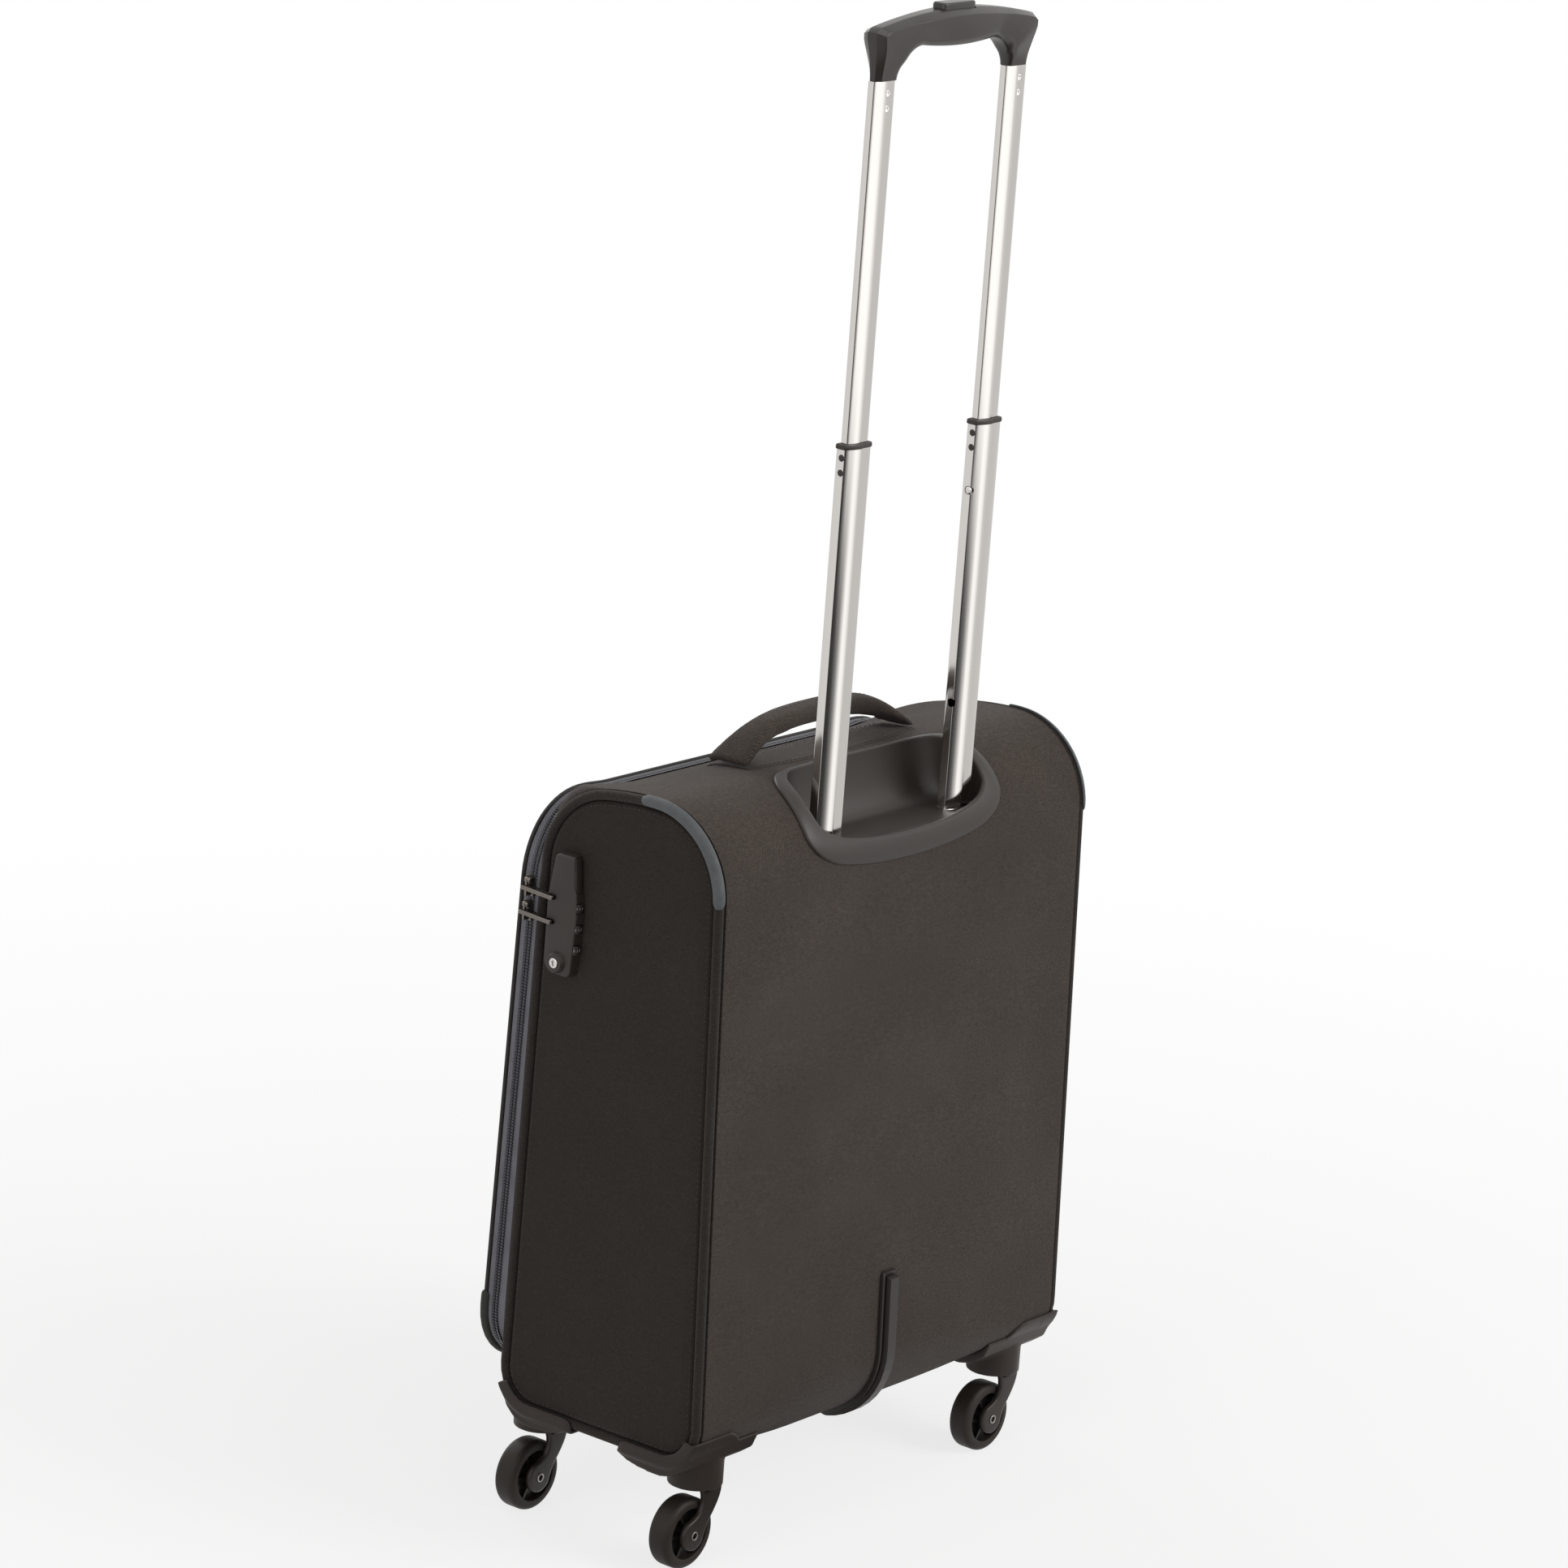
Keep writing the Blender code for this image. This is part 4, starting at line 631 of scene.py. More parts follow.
def round_tip(distance, length):
    """Returns the share of its full size that a round-tipped piece has at a distance from its tip."""
    return math.sqrt(max(0.0, 1 - (1 - min(distance / length, 1.0)) ** 2))


def band_section(inner, wall, middle, spread, steps):
    """Returns the section of a band round a piping, over a spread of degrees to each side of a middle."""
    angles = [math.radians(middle - spread + 2 * spread * k / steps) for k in range(steps + 1)]
    outer = [((inner + wall) * math.cos(a), (inner + wall) * math.sin(a)) for a in angles]
    return outer + [(inner * math.cos(a), inner * math.sin(a)) for a in reversed(angles)]


def strip_section(share):
    """Returns the strip's section over the piping, drawn in and rounded at both ends."""
    draw = round_tip(min(share, 1 - share), 0.06)
    wall = (STRIP_OUTER - STRIP_INNER) * (0.25 + 0.75 * draw)
    return band_section(STRIP_INNER, wall, 38, 57 * (0.45 + 0.55 * draw), 12)


for hand, side in SIDES:
    line = side_outline(depth=PIPING_RADIUS)
    path = [p for p in even(line, 0.0022) if p.x > STRIP_FRONT_Y and p.y > STRIP_BOTTOM_Z]
    strip = side_sweep("corner_strip_" + hand + "_rubber", path,
                       lambda share: [(side * a, b) for a, b in strip_section(share)],
                       side * (WIDTH / 2 - PIPING_RADIUS), False)
    smooth(strip, 50)
    fit(strip, GREY_RUBBER, "case", "grey_trim", "corner_strip_" + hand)

# Inside the case. A lining board closes off the trolley, whose aluminium sleeves stand on a moulded bracket;
# their CAD shapes are right and only take a finish.


def repaint(finish, *nodes):
    """Gives CAD nodes a finish in place of their plain one."""
    for name in nodes:
        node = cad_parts[name]
        node.data.materials.clear()
        node.data.materials.append(finish)


def moulded(name, dark, light, roughness, grit, shine=0.3):
    """Injection moulded plastic or rubber: a fine grit, satin, with a slightly uneven shade and gloss.

    The grit is given in millimetres; the shine is the strength of the mirrored surround.
    """
    made, tree, shader, place = new_finish(name)
    skin_grit = add_node(tree, "TexNoise", {"Vector": place, "Scale": 1000 / grit, "Detail": 2.0})
    flow = add_node(tree, "TexNoise", {"Vector": place, "Scale": 22.0, "Detail": 3.0})
    colour = add_node(tree, "Mix", {0: flow.outputs["Fac"], 6: linear(dark), 7: linear(light)},
                      data_type="RGBA").outputs[2]
    gloss = add_node(tree, "MapRange", {"Value": flow.outputs["Fac"], "To Min": roughness - 0.06,
                                        "To Max": roughness + 0.07})
    relief = add_node(tree, "Bump", {"Height": skin_grit.outputs["Fac"], "Strength": 0.18,
                                     "Distance": 0.0002})
    set_inputs(tree, shader, {"Base Color": colour, "Roughness": gloss.outputs[0],
                              "Normal": relief.outputs[0], "IOR": 1.53, "Specular IOR Level": shine})
    return made


SATIN_BLACK = moulded("satin_black_abs", "2A2420", "37302B", roughness=0.44, grit=0.7, shine=0.4)
# Drawing leaves faint lines along the tube, 0.4 mm apart, which streak its mirror-like polish.
ALUMINIUM, tree, shader, place = new_finish("polished_anodised_aluminium")
drawn = add_node(tree, "Mapping", {"Vector": place, "Scale": (2600.0, 2600.0, 12.0)})
lines = add_node(tree, "TexNoise", {"Vector": drawn.outputs[0], "Scale": 1.0, "Detail": 3.0})
gloss = add_node(tree, "MapRange", {"Value": lines.outputs["Fac"], "To Min": 0.08, "To Max": 0.15})
relief = add_node(tree, "Bump", {"Height": lines.outputs["Fac"], "Strength": 0.03, "Distance": 0.0001})
set_inputs(tree, shader, {"Roughness": gloss.outputs[0], "Normal": relief.outputs[0],
                          "Base Color": linear("DAD6D2"), "Metallic": 1.0})

repaint(LINING, "back_liner")
repaint(ALUMINIUM, "tube_sleeve_right", "tube_sleeve_left")
repaint(SATIN_BLACK, "sleeve_bracket")

# Handle cup. One satin ABS moulding sits over the top rear corner of the wrap: a flat rim, broad at its foot,
# and a dish whose front wall sweeps down into the floor that the tubes come through.
CUP_FLOOR = 0.4886
CUP_MIDDLE_Y = 0.0729
CUP_WALL = 0.0018
CUP_ARC = (BACK_Y - REAR_TOP_RADIUS * 0.967, TOP - REAR_TOP_RADIUS)


def on_wrap(x, s, rise):
    """Returns a point of the wrap at an arc length from the start of its rear corner, raised by a height."""
    turn = max(0.0, min(s / REAR_TOP_RADIUS, 1.537))
    out = Vector((math.sin(turn), math.cos(turn)))
    along = Vector((math.cos(turn), -math.sin(turn))) * (s - turn * REAR_TOP_RADIUS)
    point = Vector(CUP_ARC) + out * (REAR_TOP_RADIUS + rise) + along
    return Vector((x, point.x, point.y))


def soft_loop(corners, steps):
    """Returns a smooth closed line through points, with a number of steps between each two."""
    made = []
    count = len(corners)
    for i in range(count):
        p = [Vector(corners[(i + k) % count]) for k in (-1, 0, 1, 2)]
        for k in range(steps):
            t = k / steps
            made.append(0.5 * ((2 * p[1]) + (p[2] - p[0]) * t
                               + (2 * p[0] - 5 * p[1] + 4 * p[2] - p[3]) * t * t
                               + (3 * p[1] - p[0] - 3 * p[2] + p[3]) * t ** 3))
    return made


def both_sides(half):
    """Mirrors the right half of a closed line, whose first and last points are on the middle."""
    return half + [(-x, s) for x, s in reversed(half[1:-1])]


CUP_STEPS = 8
RIM_HALF = [(0, 0.0055), (0.050, 0.0055), (0.079, 0.0072), (0.0925, 0.0122), (0.1005, 0.0225),
            (0.1040, 0.0350), (0.1055, 0.0480), (0.1060, 0.0580), (0.1045, 0.0675), (0.0965, 0.0770),
            (0.0790, 0.0850), (0.0550, 0.0893), (0.029, 0.0918), (0, 0.0926)]
LIP_HALF = [(0, 0.0092), (0.050, 0.0092), (0.074, 0.0112), (0.0850, 0.0175), (0.0895, 0.0260),
            (0.0912, 0.0370), (0.0915, 0.0460), (0.0905, 0.0540), (0.0875, 0.0595), (0.0790, 0.0655),
            (0.0645, 0.0698), (0.0440, 0.0730), (0.022, 0.0746), (0, 0.0750)]
FLOOR_HALF = [(0, 0.0560), (0.045, 0.0560), (0.070, 0.0566), (0.0810, 0.0590), (0.0860, 0.0630),
              (0.0875, 0.0680), (0.0878, 0.0720), (0.0874, 0.0760), (0.0855, 0.0796), (0.0775, 0.0828),
              (0.0640, 0.0852), (0.0440, 0.0872), (0.022, 0.0882), (0, 0.0886)]
rim_line, lip_line, floor_line = [soft_loop(both_sides(half), CUP_STEPS)
                                  for half in (RIM_HALF, LIP_HALF, FLOOR_HALF)]
hole_line = [a.lerp(b, 0.6) for a, b in zip(rim_line, lip_line)]
cut(case_body, skin("hole", [[on_wrap(*p, rise) for p in hole_line] for rise in (-0.030, 0.030)]))
LIP_RISE = 0.0008
RIM_STEPS = ((0.0, 0.0003), (0.0, 0.0013), (0.03, 0.0021), (0.09, 0.0026), (0.45, 0.0031), (0.84, 0.0034),
             (0.93, 0.0031), (0.98, 0.0022), (1.0, LIP_RISE))
rings = []
for share, rise in RIM_STEPS:
    rings.append([on_wrap(*a.lerp(b, share), rise) for a, b in zip(rim_line, lip_line)])
for k in range(1, 10):
    turn = math.pi / 2 * k / 9
    ring = []
    for edge_point, foot in zip(lip_line, floor_line):
        top = on_wrap(*edge_point, LIP_RISE)
        base = Vector((foot.x, foot.y, CUP_FLOOR))
        point = top.lerp(base, 1 - math.cos(turn))
        point.z = top.z + (CUP_FLOOR - top.z) * math.sin(turn)
        ring.append(point)
    rings.append(ring)
rings.append([Vector((p.x * 0.97, CUP_MIDDLE_Y + (p.y - CUP_MIDDLE_Y) * 0.85, CUP_FLOOR - 0.0002))
              for p in floor_line])
dish = skin("cup_face", rings, capped=False)
edit_all(dish)
bpy.ops.mesh.select_all(action="DESELECT")
done()
first = len(dish.data.vertices) - len(floor_line)
for vertex in dish.data.vertices:
    vertex.select = vertex.index >= first
bpy.ops.object.mode_set(mode="EDIT")
bpy.ops.mesh.edge_face_add()
done()
point_outwards(dish)
if dish.data.polygons[-1].normal.z < 0:
    edit_all(dish)
    bpy.ops.mesh.flip_normals()
    done()
modify(dish, "SOLIDIFY", thickness=CUP_WALL, offset=-1.0, use_even_offset=True)
TUBE_X = 0.0705
TUBE_Y = 0.0726
for side in (-1, 1):
    bpy.ops.object.select_all(action="DESELECT")
    bpy.ops.mesh.primitive_cube_add(size=1, location=(side * TUBE_X, TUBE_Y, CUP_FLOOR))
    socket = bpy.context.object
    socket.scale = (0.0262, 0.0116, 0.02)
    bpy.ops.object.transform_apply(location=True, rotation=True, scale=True)
    modify(socket, "BEVEL", width=0.0034, segments=4, limit_method="ANGLE")
    cut(dish, socket)
smooth(dish, 40)
dish.name = "handle_cup_moulding"
fit(dish, SATIN_BLACK, "case", "black_plastic", "handle_cup")

# Carry handle. A foam core is wrapped in twill, closed with a seam along its crown, and its flared ends are
# sewn down on a lens-shaped patch on the top. The padding is settled by a cloth simulation.
CARRY_REACH = 0.0915
CARRY_Y = 0.0013
CARRY_RISE = 0.0240
CARRY_FALL = 0.0236
CARRY_HALF_WIDTH = 0.0116
CARRY_HALF_THICK = 0.0063


def top_z(y):
    """Returns the height of the wrap's top at a depth; it falls towards the zip."""
    line = sorted((p.x, p.y) for p in side_outline(0.0) if p.y > TOP - 2 * TOP_DROP)
    for (y0, z0), (y1, z1) in zip(line, line[1:]):
        if y0 <= y <= y1:
            return z0 + (z1 - z0) * (y - y0) / max(y1 - y0, 1e-9)
    return TOP


def settle(piece, voxel, pressure, cap, frames_run=20):
    modify(piece, "REMESH", mode="VOXEL", voxel_size=voxel)
    modify(piece, "SMOOTH", factor=0.5, iterations=4)
    before = [vertex.co.copy() for vertex in piece.data.vertices]
    cloth = piece.modifiers.new("cloth", "CLOTH")
    cloth.settings.use_pressure = True
    cloth.settings.uniform_pressure_force = pressure
    cloth.settings.effector_weights.gravity = 0.0
    cloth.settings.quality = 5
    cloth.point_cache.frame_start = 1
    cloth.point_cache.frame_end = frames_run
    for step_frame in range(1, frames_run + 1):
        scene.frame_set(step_frame)
    alone(piece)
    bpy.ops.object.modifier_apply(modifier=cloth.name)
    scene.frame_set(1)
    for vertex, start in zip(piece.data.vertices, before):
        move = vertex.co - start
        if move.length > cap:
            vertex.co = start + move.normalized() * cap
    modify(piece, "SUBSURF", levels=1, render_levels=1)


def carry_frame(share):
    """Returns the handle's middle, its upward side, its direction and its flare at a share of its reach."""
    x = CARRY_REACH * share
    middle = Vector((x, CARRY_Y, TOP + CARRY_RISE - CARRY_FALL * abs(share) ** 3))
    slope = math.copysign(CARRY_FALL * 3 * share * share / CARRY_REACH, -share)
    ahead = Vector((1, 0, slope)).normalized()
    flare = max(0.0, (abs(share) - 0.55) / 0.45)
    return middle, Vector((-ahead.z, 0, ahead.x)), ahead, flare * flare * (3 - 2 * flare)


rings = []
for i in range(61):
    middle, up, _, flare = carry_frame(-1 + i / 30)
    half_width = CARRY_HALF_WIDTH + 0.0062 * flare
    half_thick = CARRY_HALF_THICK - 0.0036 * flare
    ring = []
    for k in range(24):
        turn = 2 * math.pi * k / 24
        c, s = math.cos(turn), math.sin(turn)
        a = half_width * math.copysign(abs(c) ** 0.75, c)
        b = half_thick * math.copysign(abs(s) ** 0.75, s)
        point = middle + up * b + Vector((0, a, 0))
        point.z = max(point.z, top_z(point.y) + 0.0008)
        ring.append(point)
    rings.append(ring)
loop = skin("carry_handle_padded", rings)
settle(loop, voxel=0.0022, pressure=4.0, cap=0.0010)
for vertex in loop.data.vertices:
    vertex.co.z = max(vertex.co.z, top_z(vertex.co.y) + 0.0007)
droop(loop)
smooth(loop, 60)
fit(loop, BACK_TWILL, "case", "dark_fabric", "carry_handle")
places = []
for k in range(38):
    middle, up, ahead, flare = carry_frame(-0.93 + 1.86 * k / 37)
    places.append((middle + up * (0.0066 - 0.0043 * flare) + Vector((0, -0.0008, 0)), ahead, up))
row = stitch_row("carry_handle_seam", places, length=0.0030, thick=0.0008)
droop(row)
fit(row, THREAD, "case", "piping_fabric")

# Handle patch. A second layer of twill is laid under the handle and takes its pull; a row of stitches along
# each long edge sews it to the top.
PATCH_REACH = 0.0905
PATCH_END_HALF = 0.0180
PATCH_BOW = 0.0082
PATCH_THICK = 0.0008
PATCH_SEAM_IN = 0.0022


def patch_edge(x, side, inset):
    """Returns the patch's front (-1) or back (1) edge at a distance across the case."""
    bow = 1 - (x / PATCH_REACH) ** 2
    return CARRY_Y + side * (PATCH_END_HALF + PATCH_BOW * bow - inset)


rings = []
for i in range(33):
    x = PATCH_REACH * (-1 + i / 16)
    front, back = patch_edge(x, -1, 0.0), patch_edge(x, 1, 0.0)
    across = [front + (back - front) * k / 16 for k in range(17)]
    upper = [(x, y, top_z(y) + (0.0003 if k in (0, 16) else PATCH_THICK)) for k, y in enumerate(across)]
    rings.append(upper + [(x, y, top_z(y) + 0.0001) for y in reversed(across)])
patch = skin("carry_patch", rings)
droop(patch)
smooth(patch, 50)
fit(patch, BACK_TWILL, "case", "dark_fabric")
places = []
for side in (-1, 1):
    for k in range(46):
        x = (PATCH_REACH - 0.002) * (-1 + k / 22.5)
        y = patch_edge(x, side, PATCH_SEAM_IN)
        slant = patch_edge(x + 0.001, side, PATCH_SEAM_IN) - y
        places.append((Vector((x, y, top_z(y) + 0.0010)), Vector((0.001, slant, 0)).normalized(),
                       Vector((0, 0, 1))))
row = stitch_row("carry_patch_seam", places, length=0.0027, thick=0.0008)
droop(row)
fit(row, THREAD, "case", "piping_fabric")

# Skid rail. A hard nylon rail is screwed down the middle of the back and round the bottom edge, where the
# case is dragged over steps: a square ridge with a low border along one side that hooks over its upper end.
RAIL_TOP = 0.178
RAIL_END_Y = 0.042
RAIL_STEP = 0.0008
RAIL_FOOT = 0.0002
RAIL_RIDGE = 0.0066
RAIL_GROOVE = 0.0010
path = [p for p in even(side_outline(sag=1.0), RAIL_STEP) if p.x > RAIL_END_Y and p.y < RAIL_TOP]
RAIL_LENGTH = RAIL_STEP * (len(path) - 1)


def rail_section(share):
    """Returns the rail's section: border, groove and ridge; only the border crosses its upper end."""
    below_top = (1 - share) * RAIL_LENGTH
    from_foot = share * RAIL_LENGTH
    pinch = 0.0022 * (1 - round_tip(below_top, 0.003))
    fade = eased(from_foot, 0.0, 0.018)
    border = (0.0012 + 0.0024 * eased(below_top, 0.0, 0.0008)) * (0.25 + 0.75 * fade)
    groove = RAIL_GROOVE + (border - RAIL_GROOVE) * (1 - eased(below_top, 0.0019, 0.0026))
    ridge = groove + (RAIL_RIDGE - groove) * eased(below_top, 0.0040, 0.0052) * fade
    left = 0.0094 - pinch
    right = pinch - 0.0055
    return [(left, RAIL_FOOT), (left, border - 0.0006), (left - 0.0006, border), (0.0072, border),
            (0.0067, border - 0.0005), (0.0065, groove), (0.0050, groove), (0.0048, ridge - 0.0008),
            (0.0042, ridge), (-0.0046, ridge), (right, ridge - 0.0009), (right, RAIL_FOOT)]


rail = side_sweep("skid_rail_moulding", path, rail_section, 0.0, False)
smooth(rail, 35)
RAIL_NYLON = moulded("black_nylon", "2B2623", "3D3733", roughness=0.42, grit=0.9)
fit(rail, RAIL_NYLON, "case", "black_plastic", "skid_rail")

# Lid. Foam-backed twill with a thin piping round its edge and grained guards on its lower corners. It hinges
# on a cloth gusset along its foot, and its face is out of the photograph's sight.
ZIP_HALF = 0.006
LID_BACK = 2 * ZIP_HALF + 0.0006
LID_EDGE_RADIUS = 0.0017
LID_EDGE_OUT = LID_BACK + 0.0018
LID_STEPS = ((0.0037, 0.0), (0.0037, 0.0026), (0.0046, 0.0042), (0.0070, 0.0051), (0.0150, 0.0060),
             (0.0300, 0.0072), (0.0500, 0.0079))
rings = []
for inset, out in LID_STEPS:
    rings.append([in_front(p.x, LID_BACK + out, p.y) for p in front_outline(inset)])
lid = skin("lid_cloth", rings)
droop(lid)
smooth(lid, 60)
fit(lid, BACK_TWILL, "lid", "dark_fabric", "lid_panel")


def front_sweep(name, path, section, out, closed=True):
    """Sweeps a section of (outwards, forwards) points along a line in (x, z) in front of the body."""
    rings = []
    runs = frames(path, closed)
    for i, (point, _, outward) in enumerate(runs):
        shape = section(i / (len(runs) - 1)) if callable(section) else section
        rings.append([in_front(point.x + outward.x * a, out + b, point.y + outward.y * a) for a, b in shape])
    return skin(name, rings, closed)


edge = front_sweep("lid_piping_cloth", even(front_outline(LID_EDGE_RADIUS), 0.006),
                   ring_section(LID_EDGE_RADIUS, 12), LID_EDGE_OUT)
droop(edge)
smooth(edge, 60)
LID_PIPING = moulded("black_vinyl_piping", "1E1B19", "2A2623", roughness=0.5, grit=0.8, shine=0.3)
fit(edge, LID_PIPING, "lid", "piping_fabric", "lid_piping")


def guard_section(share):
    """Returns a lid guard's section over the piping, drawn in at its ends."""
    draw = round_tip(min(share, 1 - share), 0.05)
    wall = 0.0015 * (0.3 + 0.7 * draw)
    return band_section(LID_EDGE_RADIUS + 0.0003, wall, 0, 80 * (0.6 + 0.4 * draw), 10)


GUARD_RUBBER = moulded("dark_grey_rubber", "32322E", "43433E", roughness=0.60, grit=1.0, shine=0.2)
for hand, side in SIDES:
    line = [p for p in even(front_outline(LID_EDGE_RADIUS), 0.0022) if p.y < 0.155 and p.x * side > 0.150]
    line.sort(key=lambda p: math.atan2(p.y - 0.16, p.x * side - 0.15) * side)
    guard = front_sweep("lid_guard_" + hand + "_rubber", line, guard_section, LID_EDGE_OUT, False)
    smooth(guard, 50)
    fit(guard, GUARD_RUBBER, "lid", "grey_trim", "lid_guard_" + hand)

# Front pocket. A flat padded pocket is sewn to the lid, with a short zip along its top; the padding is
# settled by a cloth simulation, and a row of stitches runs round it.
POCKET_BACK = LID_BACK + 0.0083
pocket_corners = [Vector(c) for c in ((-0.160, 0.150), (0.160, 0.150), (0.160, 0.400), (-0.160, 0.400))]
rings = []
for inset, out in ((0.0, 0.0), (0.0, 0.0042), (0.003, 0.0062), (0.010, 0.0072)):
    outline = rounded(moved_in(pocket_corners, inset), [0.030 - inset] * 4, [6] * 4)
    rings.append([in_front(p.x, POCKET_BACK + out, p.y) for p in outline])
pocket = skin("front_pocket_padded", rings)
settle(pocket, voxel=0.0034, pressure=3.0, cap=0.0018)
for vertex in pocket.data.vertices:
    vertex.co.y = min(vertex.co.y, in_front(0, POCKET_BACK, vertex.co.z).y)
smooth(pocket, 60)
fit(pocket, BACK_TWILL, "lid", "dark_fabric", "front_pocket")
surface = BVHTree.FromPolygons([v.co for v in pocket.data.vertices],
                               [f.vertices for f in pocket.data.polygons])
seam_line = rounded(moved_in(pocket_corners, 0.006), [0.024] * 4, [6] * 4)
places = []
for point, ahead, _ in frames(even(seam_line, 0.0045), True):
    spot = surface.ray_cast(Vector((point.x, -0.2, point.y)), Vector((0, 1, 0)))[0]
    places.append((spot, Vector((ahead.x, FRONT_LEAN * ahead.y, ahead.y)).normalized(), Vector((0, -1, 0))))
row = stitch_row("pocket_seam", places, length=0.0030, thick=0.0008)
fit(row, THREAD, "lid", "piping_fabric")

# Zip. A woven tape with a nylon coil down its middle runs up both sides and over the top between body and
# lid; each tape carries its half of the coil. The teeth are drawn coarser than the real ones, 2.2 mm apart.
TAPE_SINK = 0.0012
TAPE_THICK = 0.002
TOOTH_PITCH = 0.0022
TOOTH_REACH = 0.0026
TOOTH_LAP = 0.0004
TOOTH_CORNERS = ((-0.38, 0, 0.0), (0.38, 0, 0.0), (0.38, 0, 0.0010), (-0.38, 0, 0.0010),
                 (-0.30, 1, 0.0), (0.30, 1, 0.0), (0.30, 1, 0.0013), (-0.30, 1, 0.0013))
TOOTH_FACES = ((0, 1, 2, 3), (4, 7, 6, 5), (0, 4, 5, 1), (1, 5, 6, 2), (2, 6, 7, 3), (3, 7, 4, 0))


def zip_line(depth):
    """Returns the zip's line in (x, z) from its lower right corner over the top to its lower left corner."""
    outline = front_outline(depth)
    return outline[9:] + outline[:9]


def woven_tape(name, dark, light):
    """Polyester tape: a diagonal rib, 1.6 mm apart as drawn, rubbed paler in places."""
    made, tree, shader, place = new_finish(name)
    rib = add_node(tree, "TexWave", {"Vector": place, "Scale": wave_scale(RIB_PITCH), "Distortion": 0.8},
                   bands_direction="DIAGONAL")
    worn = add_node(tree, "TexNoise", {"Vector": place, "Scale": 60.0, "Detail": 3.0})
    mix = add_node(tree, "Math", {0: rib.outputs["Fac"], 1: worn.outputs["Fac"]}, operation="MULTIPLY")
    colour = add_node(tree, "Mix", {0: mix.outputs[0], 6: linear(dark), 7: linear(light)},
                      data_type="RGBA").outputs[2]
    relief = add_node(tree, "Bump", {"Height": rib.outputs["Fac"], "Strength": 0.4, "Distance": 0.0004})
    set_inputs(tree, shader, {"Base Color": colour, "Normal": relief.outputs[0], "Roughness": 0.75,
                              "Specular IOR Level": 0.2})
    return made


TAPE_CLOTH = woven_tape("grey_navy_tape", "6A696F", "A8A7AF")
COIL_NYLON = moulded("navy_nylon_coil", "1E1D25", "35343F", roughness=0.26, grit=0.6, shine=0.55)

for name, body, low, high in (("zip_tape_body", "case", 0.0003, ZIP_HALF),
                              ("zip_tape_lid", "lid", ZIP_HALF + 0.0003, 2 * ZIP_HALF + 0.0003)):
    line = even(zip_line(TAPE_SINK), 0.006, closed=False)
    rings = []
    for point, _, outward in frames(line, False):
        behind = low - slack(point.y) if body == "case" else low
        inner = point - outward * TAPE_THICK
        rings.append([in_front(point.x, behind, point.y), in_front(point.x, high, point.y),
                      in_front(inner.x, high, inner.y), in_front(inner.x, behind, inner.y)])
    band = skin(name + "_cloth", rings)
    droop(band)
    smooth(band, 40)
    fit(band, TAPE_CLOTH, body, "zip_tape", name)
    points = []
    faces = []
    middle = ZIP_HALF - 0.0011
    way = 1 if body == "lid" else -1
    line = [p for p in even(zip_line(TAPE_SINK), TOOTH_PITCH, closed=False) if p.y > LID_BOTTOM + 0.008]
    for point, ahead, outward in frames(line, False):
        n = len(points)
        for a, b, c in TOOTH_CORNERS:
            spot = point + ahead * a * TOOTH_PITCH + outward * (c + 0.00005)
            out = middle + way * TOOTH_LAP * (1 - b) + way * b * TOOTH_REACH
            points.append(tuple(in_front(spot.x, out, spot.y)))
        faces += [[n + corner for corner in face] for face in TOOTH_FACES]
    coil = mesh_piece(name + "_coil", points, faces)
    droop(coil)
    fit(coil, COIL_NYLON, body, "zip_tape")

# Hinge gusset. A strip of the piping's twill is sewn along the foot of the opening and along the foot of the
# lid, and sags a little between them.
GUSSET_HALF = 0.152
GUSSET_Z = LID_BOTTOM + 0.0012
GUSSET_THICK = 0.0008
rings = []
for k in range(17):
    out = -0.0038 + 0.0162 * k / 16
    sag = 0.0010 * math.sin(math.pi * k / 16)
    y = in_front(0, out, GUSSET_Z).y
    low = GUSSET_Z - sag
    rings.append([(GUSSET_HALF, y, low), (GUSSET_HALF, y, low + GUSSET_THICK),
                  (-GUSSET_HALF, y, low + GUSSET_THICK), (-GUSSET_HALF, y, low)])
gusset = skin("hinge_gusset_cloth", rings)
smooth(gusset, 50)
gusset.data.materials.append(PIPING_TWILL)
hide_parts("hinge_gusset")
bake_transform(gusset)

# Zip sliders. Each is a plated zinc casting that straddles the coil: a plate with a raised hump at one end,
# two short legs at the other and a thin bail between them for the pull bar. They meet beside the lock.
SLIDER_HEIGHTS = {"upper": 0.446, "lower": 0.429}
SLIDER_BASE = 0.1967
BAIL_X = 0.2035


def block(name, low, high):
    """Adds a cube between two corners."""
    bpy.ops.object.select_all(action="DESELECT")
    bpy.ops.mesh.primitive_cube_add(size=1, location=[(a + b) / 2 for a, b in zip(low, high)])
    made = bpy.context.object
    made.name = name
    made.scale = [b - a for a, b in zip(low, high)]
    bpy.ops.object.transform_apply(location=True, rotation=True, scale=True)
    return made


def pick(piece, kind, wanted):
    """Opens a piece for editing with those faces or edges selected whose middle and direction pass a test."""
    alone(piece)
    bpy.ops.object.mode_set(mode="EDIT")
    bpy.ops.mesh.select_mode(type=kind)
    bpy.ops.mesh.select_all(action="DESELECT")
    done()
    mesh = piece.data
    if kind == "FACE":
        for face in mesh.polygons:
            face.select = wanted(face.center, face.normal)
    else:
        for line in mesh.edges:
            a, b = [mesh.vertices[i].co for i in line.vertices]
            line.select = wanted((a + b) / 2, (b - a).normalized())
    bpy.ops.object.mode_set(mode="EDIT")


